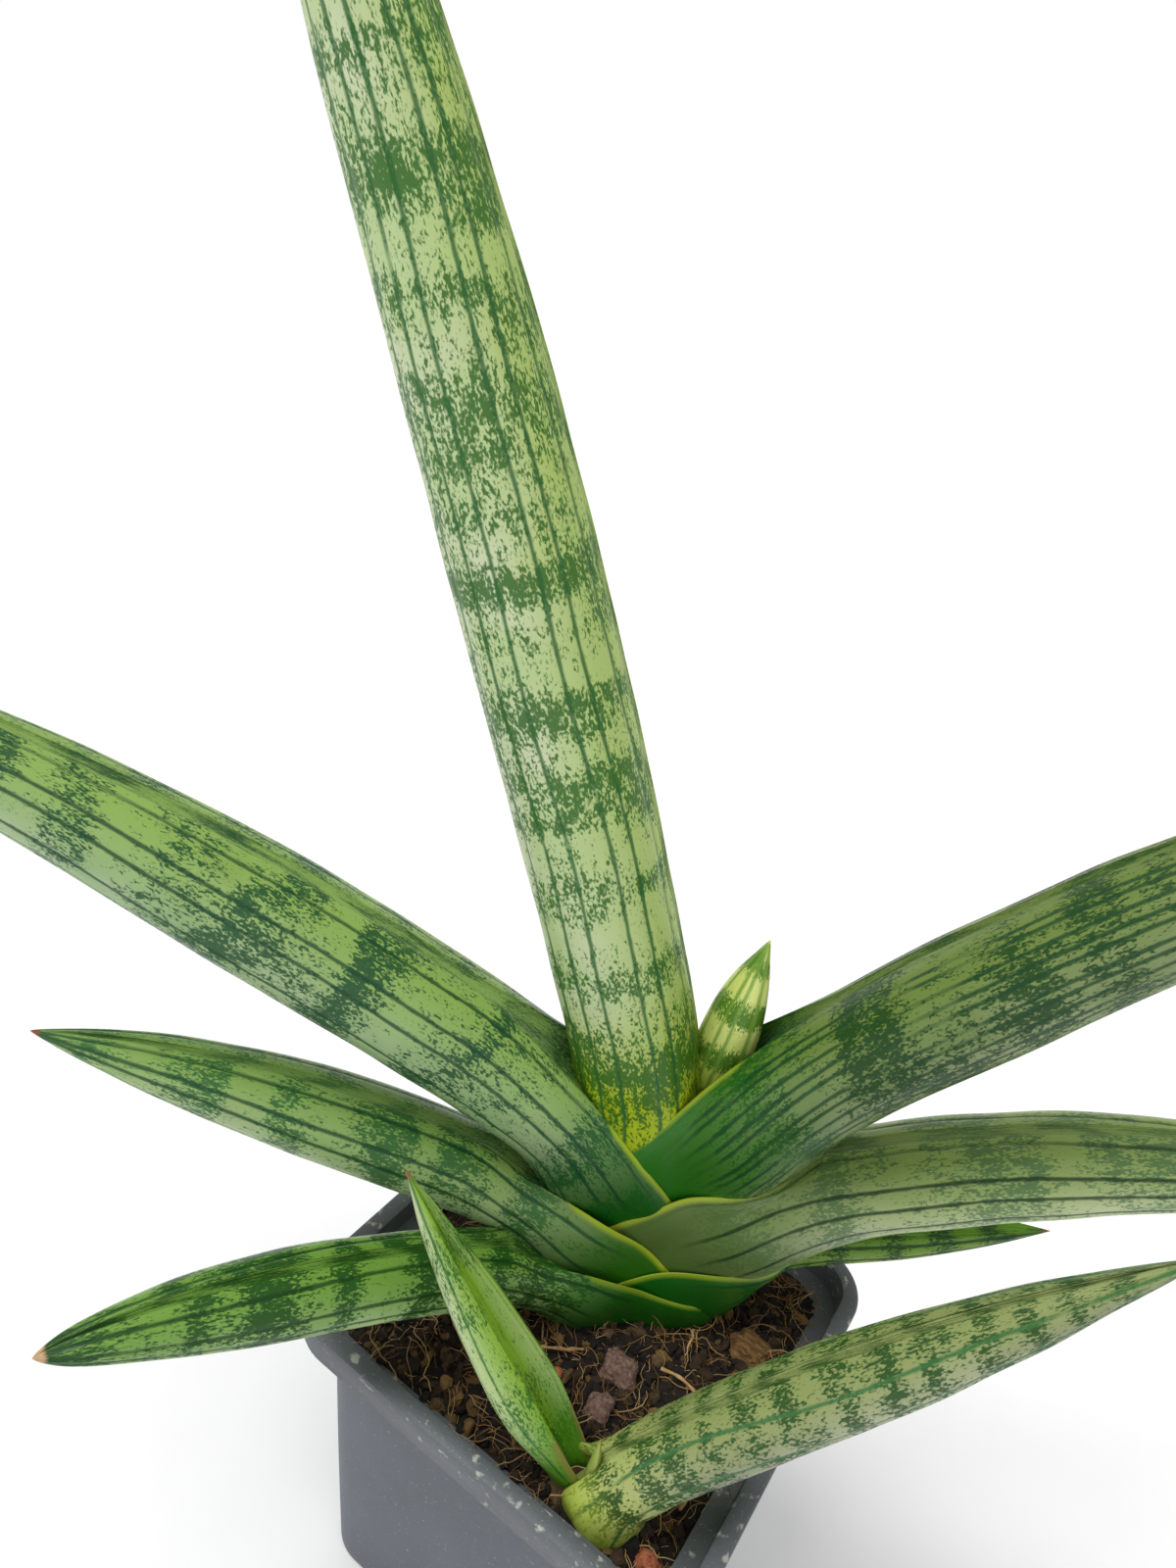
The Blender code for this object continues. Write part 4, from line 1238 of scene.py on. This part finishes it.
            # A ball is roughened, partly squared and then fitted to the solid's box.
            low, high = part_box(node)
            middle, size = (low + high) / 2 / MM, (high - low) / MM
            bm = bmesh.new()
            bmesh.ops.create_icosphere(bm, subdivisions=5, radius=0.5)
            for vert in bm.verts:
                p = vert.co.copy()
                fine = noise.noise(p * 9 + Vector((seed, 0, 0)))
                bump = 1 + 0.34 * noise.noise(p * 2.4 + Vector((seed, 0, 0))) + 0.09 * fine
                if kind is Grit.BARK:
                    bump += 0.10 * noise.noise(Vector((p.x * 2, p.y * 14, p.z * 14 + seed)))
                if kind is Grit.PUMICE:
                    bump -= 0.09 * max(0.0, noise.noise(p * 16 + Vector((0, seed, 0))))
                square = 1 / max(abs(p.x), abs(p.y), abs(p.z), 0.25) * 0.5
                vert.co = p * bump * (0.84 + 0.16 * square)
            points = np.array([v.co for v in bm.verts])
            points = (points - (points.max(0) + points.min(0)) / 2) / (points.max(0) - points.min(0))
            faces = [[v.index for v in face.verts] for face in bm.faces]
            bm.free()
            made = mesh_object(f"{node}_piece", points * np.array(size) + np.array(middle), faces)
            finish, slot = {
                Grit.PUMICE: (pumice, "pumice_stone"),
                Grit.BARK: (bark, "bark_chip"),
                Grit.BRICK: (brick, "brick_bit"),
            }[kind]
            hand_over(made, finish, slot, node)

    def lay_roots(self) -> None:
        """Lays the loose root strands along their paths, with a Geometry Nodes tube."""
        finish = EarthFinish(
            "loose_root_strand", ("#8A6238", "#B48C58", "#CDAE80"),
            grain=2.5, pitted=0.05, roughness=0.75).build()
        for node, path in (
            ("loose_root_by_pup", ((34, -22, 0.2), (34.5, -16, 1.2), (33, -10, 2.0), (29, -4, 1.6),
                                   (23, -1, 0.6), (18, -2, 0.2))),
            ("loose_root_left", ((-28, -3, 0.2), (-27, -12, 1.4), (-22, -21, 1.8), (-14, -26, 1.2),
                                 (-6, -28, 0.2))),
            ("loose_root_middle", ((4, -9, 0.3), (-1, -14, 1.5), (-6, -18.5, 1.8), (-10, -21, 0.8),
                                   (-13, -22.5, 0.2))),
        ):
            line = bpy.data.curves.new(node, "CURVE")
            line.dimensions = "3D"
            spline = line.splines.new("NURBS")
            spline.points.add(len(path) - 1)
            spline.use_endpoint_u = True
            spline.order_u = 3
            for point, (x, y, over) in zip(spline.points, path):
                point.co = (x * MM, y * MM, (self.height(x, y) + 0.9 + over) * MM, 1.0)
            holder = new_object(node, line)
            tree, names = self.strand_tree(finish)
            live = holder.modifiers.new("strand", "NODES")
            live.node_group = tree
            live[names["Thickness"]] = 0.8 * MM
            live[names["Wander"]] = 1.1 * MM
            hand_over(baked(holder, f"{node}_strand"), finish, "root_fibre", node)

    def strand_tree(self, finish: bpy.types.Material) -> tuple[bpy.types.NodeTree, dict[str, str]]:
        """Builds the tube that a loose root is made with.

        Args:
            finish: the strand's material.

        Returns:
            The tree, and each named input's identifier.
        """
        tree, names, given = geometry_tree("root_strand", "Thickness", "Wander")
        fine = add_node(tree, "GeometryNodeResampleCurve", {"Curve": given["Geometry"], "Count": 90})[0]
        sway = add_node(tree, NOISE, {"Scale": 190.0, "Detail": 2.0})["Color"]
        sway = add_node(tree, VECTOR, {0: sway, 1: (0.5, 0.5, 0.5)}, operation="SUBTRACT")[0]
        sway = add_node(tree, VECTOR, {0: sway, 3: given["Wander"]}, operation="SCALE")[0]
        moved = add_node(tree, "GeometryNodeSetPosition", {"Geometry": fine, "Offset": sway})[0]
        knots = add_node(tree, NOISE, {"Scale": 420.0, "Detail": 1.0})["Fac"]
        knots = add_node(
            tree, SPAN, {"Value": knots, "From Min": 0.3, "From Max": 0.7, "To Min": 0.6, "To Max": 1.1})[0]
        radius = add_node(tree, MATH, {0: given["Thickness"], 1: 0.5}, operation="MULTIPLY")[0]
        radius = add_node(tree, MATH, {0: radius, 1: knots}, operation="MULTIPLY")[0]
        circle = add_node(tree, "GeometryNodeCurvePrimitiveCircle", {"Resolution": 10, "Radius": 1.0})[0]
        tube = add_node(tree, "GeometryNodeCurveToMesh",
            {"Curve": moved, "Profile Curve": circle, "Scale": radius, "Fill Caps": True})[0]
        end_tree(tree, tube, finish)
        return tree, names


# ---------------------------------------------------------------- studio
@dataclass
class Studio:
    """Pale floor, soft light from all round with a broad key, and the camera."""

    camera_at: tuple[float, float, float] = (40.8, -146.9, 282.0)
    heading: float = -26.2
    pitch: float = -28.84
    roll: float = 14.78
    lens: float = 25.43
    soft_light: float = 0.56

    def build(self) -> None:
        """Builds the floor, the lights and the camera."""
        scene = bpy.context.scene
        scene.view_settings.view_transform = "Standard"
        self.floor()
        self.room()
        for name, way, spread, power in (
            ("key", (0.45, 0.30, -1.0), 35, 1.80),
            ("fill", (-0.8, 0.7, -0.6), 60, 0.35),
        ):
            light = bpy.data.lights.new(name, "SUN")
            light.angle = math.radians(spread)
            light.energy = power
            lamp = new_object(name, light)
            lamp.rotation_euler = Vector(way).to_track_quat("-Z", "Y").to_euler()
        lens = bpy.data.cameras.new("camera")
        lens.sensor_fit = "VERTICAL"
        lens.sensor_height = 36.0
        lens.lens = self.lens
        lens.clip_start = 0.01
        camera = new_object("camera", lens)
        turn = Matrix.Rotation(math.radians(-self.heading), 4, "Z")
        tilt = Matrix.Rotation(math.radians(90 + self.pitch), 4, "X")
        roll = Matrix.Rotation(math.radians(self.roll), 4, "Z")
        camera.matrix_world = Matrix.Translation(Vector(self.camera_at) * MM) @ turn @ tilt @ roll
        scene.camera = camera

    def room(self) -> None:
        """Builds the white room: seen as white, and lighting the plant at half that."""
        world = bpy.data.worlds.new("soft_white_room")
        world.use_nodes = True
        tree = world.node_tree
        tree.nodes.clear()
        seen = add_node(tree, "ShaderNodeLightPath")["Is Camera Ray"]
        strength = add_node(tree, SPAN, {"Value": seen, "To Min": self.soft_light, "To Max": 1.0})[0]
        sky = add_node(tree, "ShaderNodeBackground", {"Color": (1.0, 1.0, 1.0, 1.0), "Strength": strength})
        add_node(tree, "ShaderNodeOutputWorld", {"Surface": sky[0]})
        bpy.context.scene.world = world

    def floor(self) -> None:
        """Builds the floor, a wide disc in matt white paper."""
        bm = bmesh.new()
        bmesh.ops.create_circle(bm, cap_ends=True, segments=96, radius=6.0)
        mesh = bpy.data.meshes.new("studio_floor")
        bm.to_mesh(mesh)
        bm.free()
        floor = new_object("studio_floor", mesh)
        paper = EarthFinish(
            "matt_white_paper", ("#FBFBFB", "#FFFFFF"), grain=60.0, pitted=0.01, roughness=0.95)
        floor.data.materials.append(paper.build())


def main() -> None:
    """Builds every piece of the potted plant around the solid frame, then the studio."""
    logging.basicConfig(level=logging.INFO, format="%(message)s")
    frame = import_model()
    Studio().build()
    NurseryPot().build()
    Soil().build()
    for leaves in (fan_leaves(), pup_leaves()):
        younger: list[tuple[np.ndarray, list]] = []
        for leaf in leaves:
            leaf.build(younger)
    rhizome = frame["nodes"]["rhizome"]
    skin = EarthFinish("rhizome_corky_skin", ("#9A5A28", "#C8823C", "#D89A58"), grain=3.0, roughness=0.7)
    rhizome.data.materials.clear()
    rhizome.data.materials.append(skin.build())


if __name__ == "__main__":
    main()
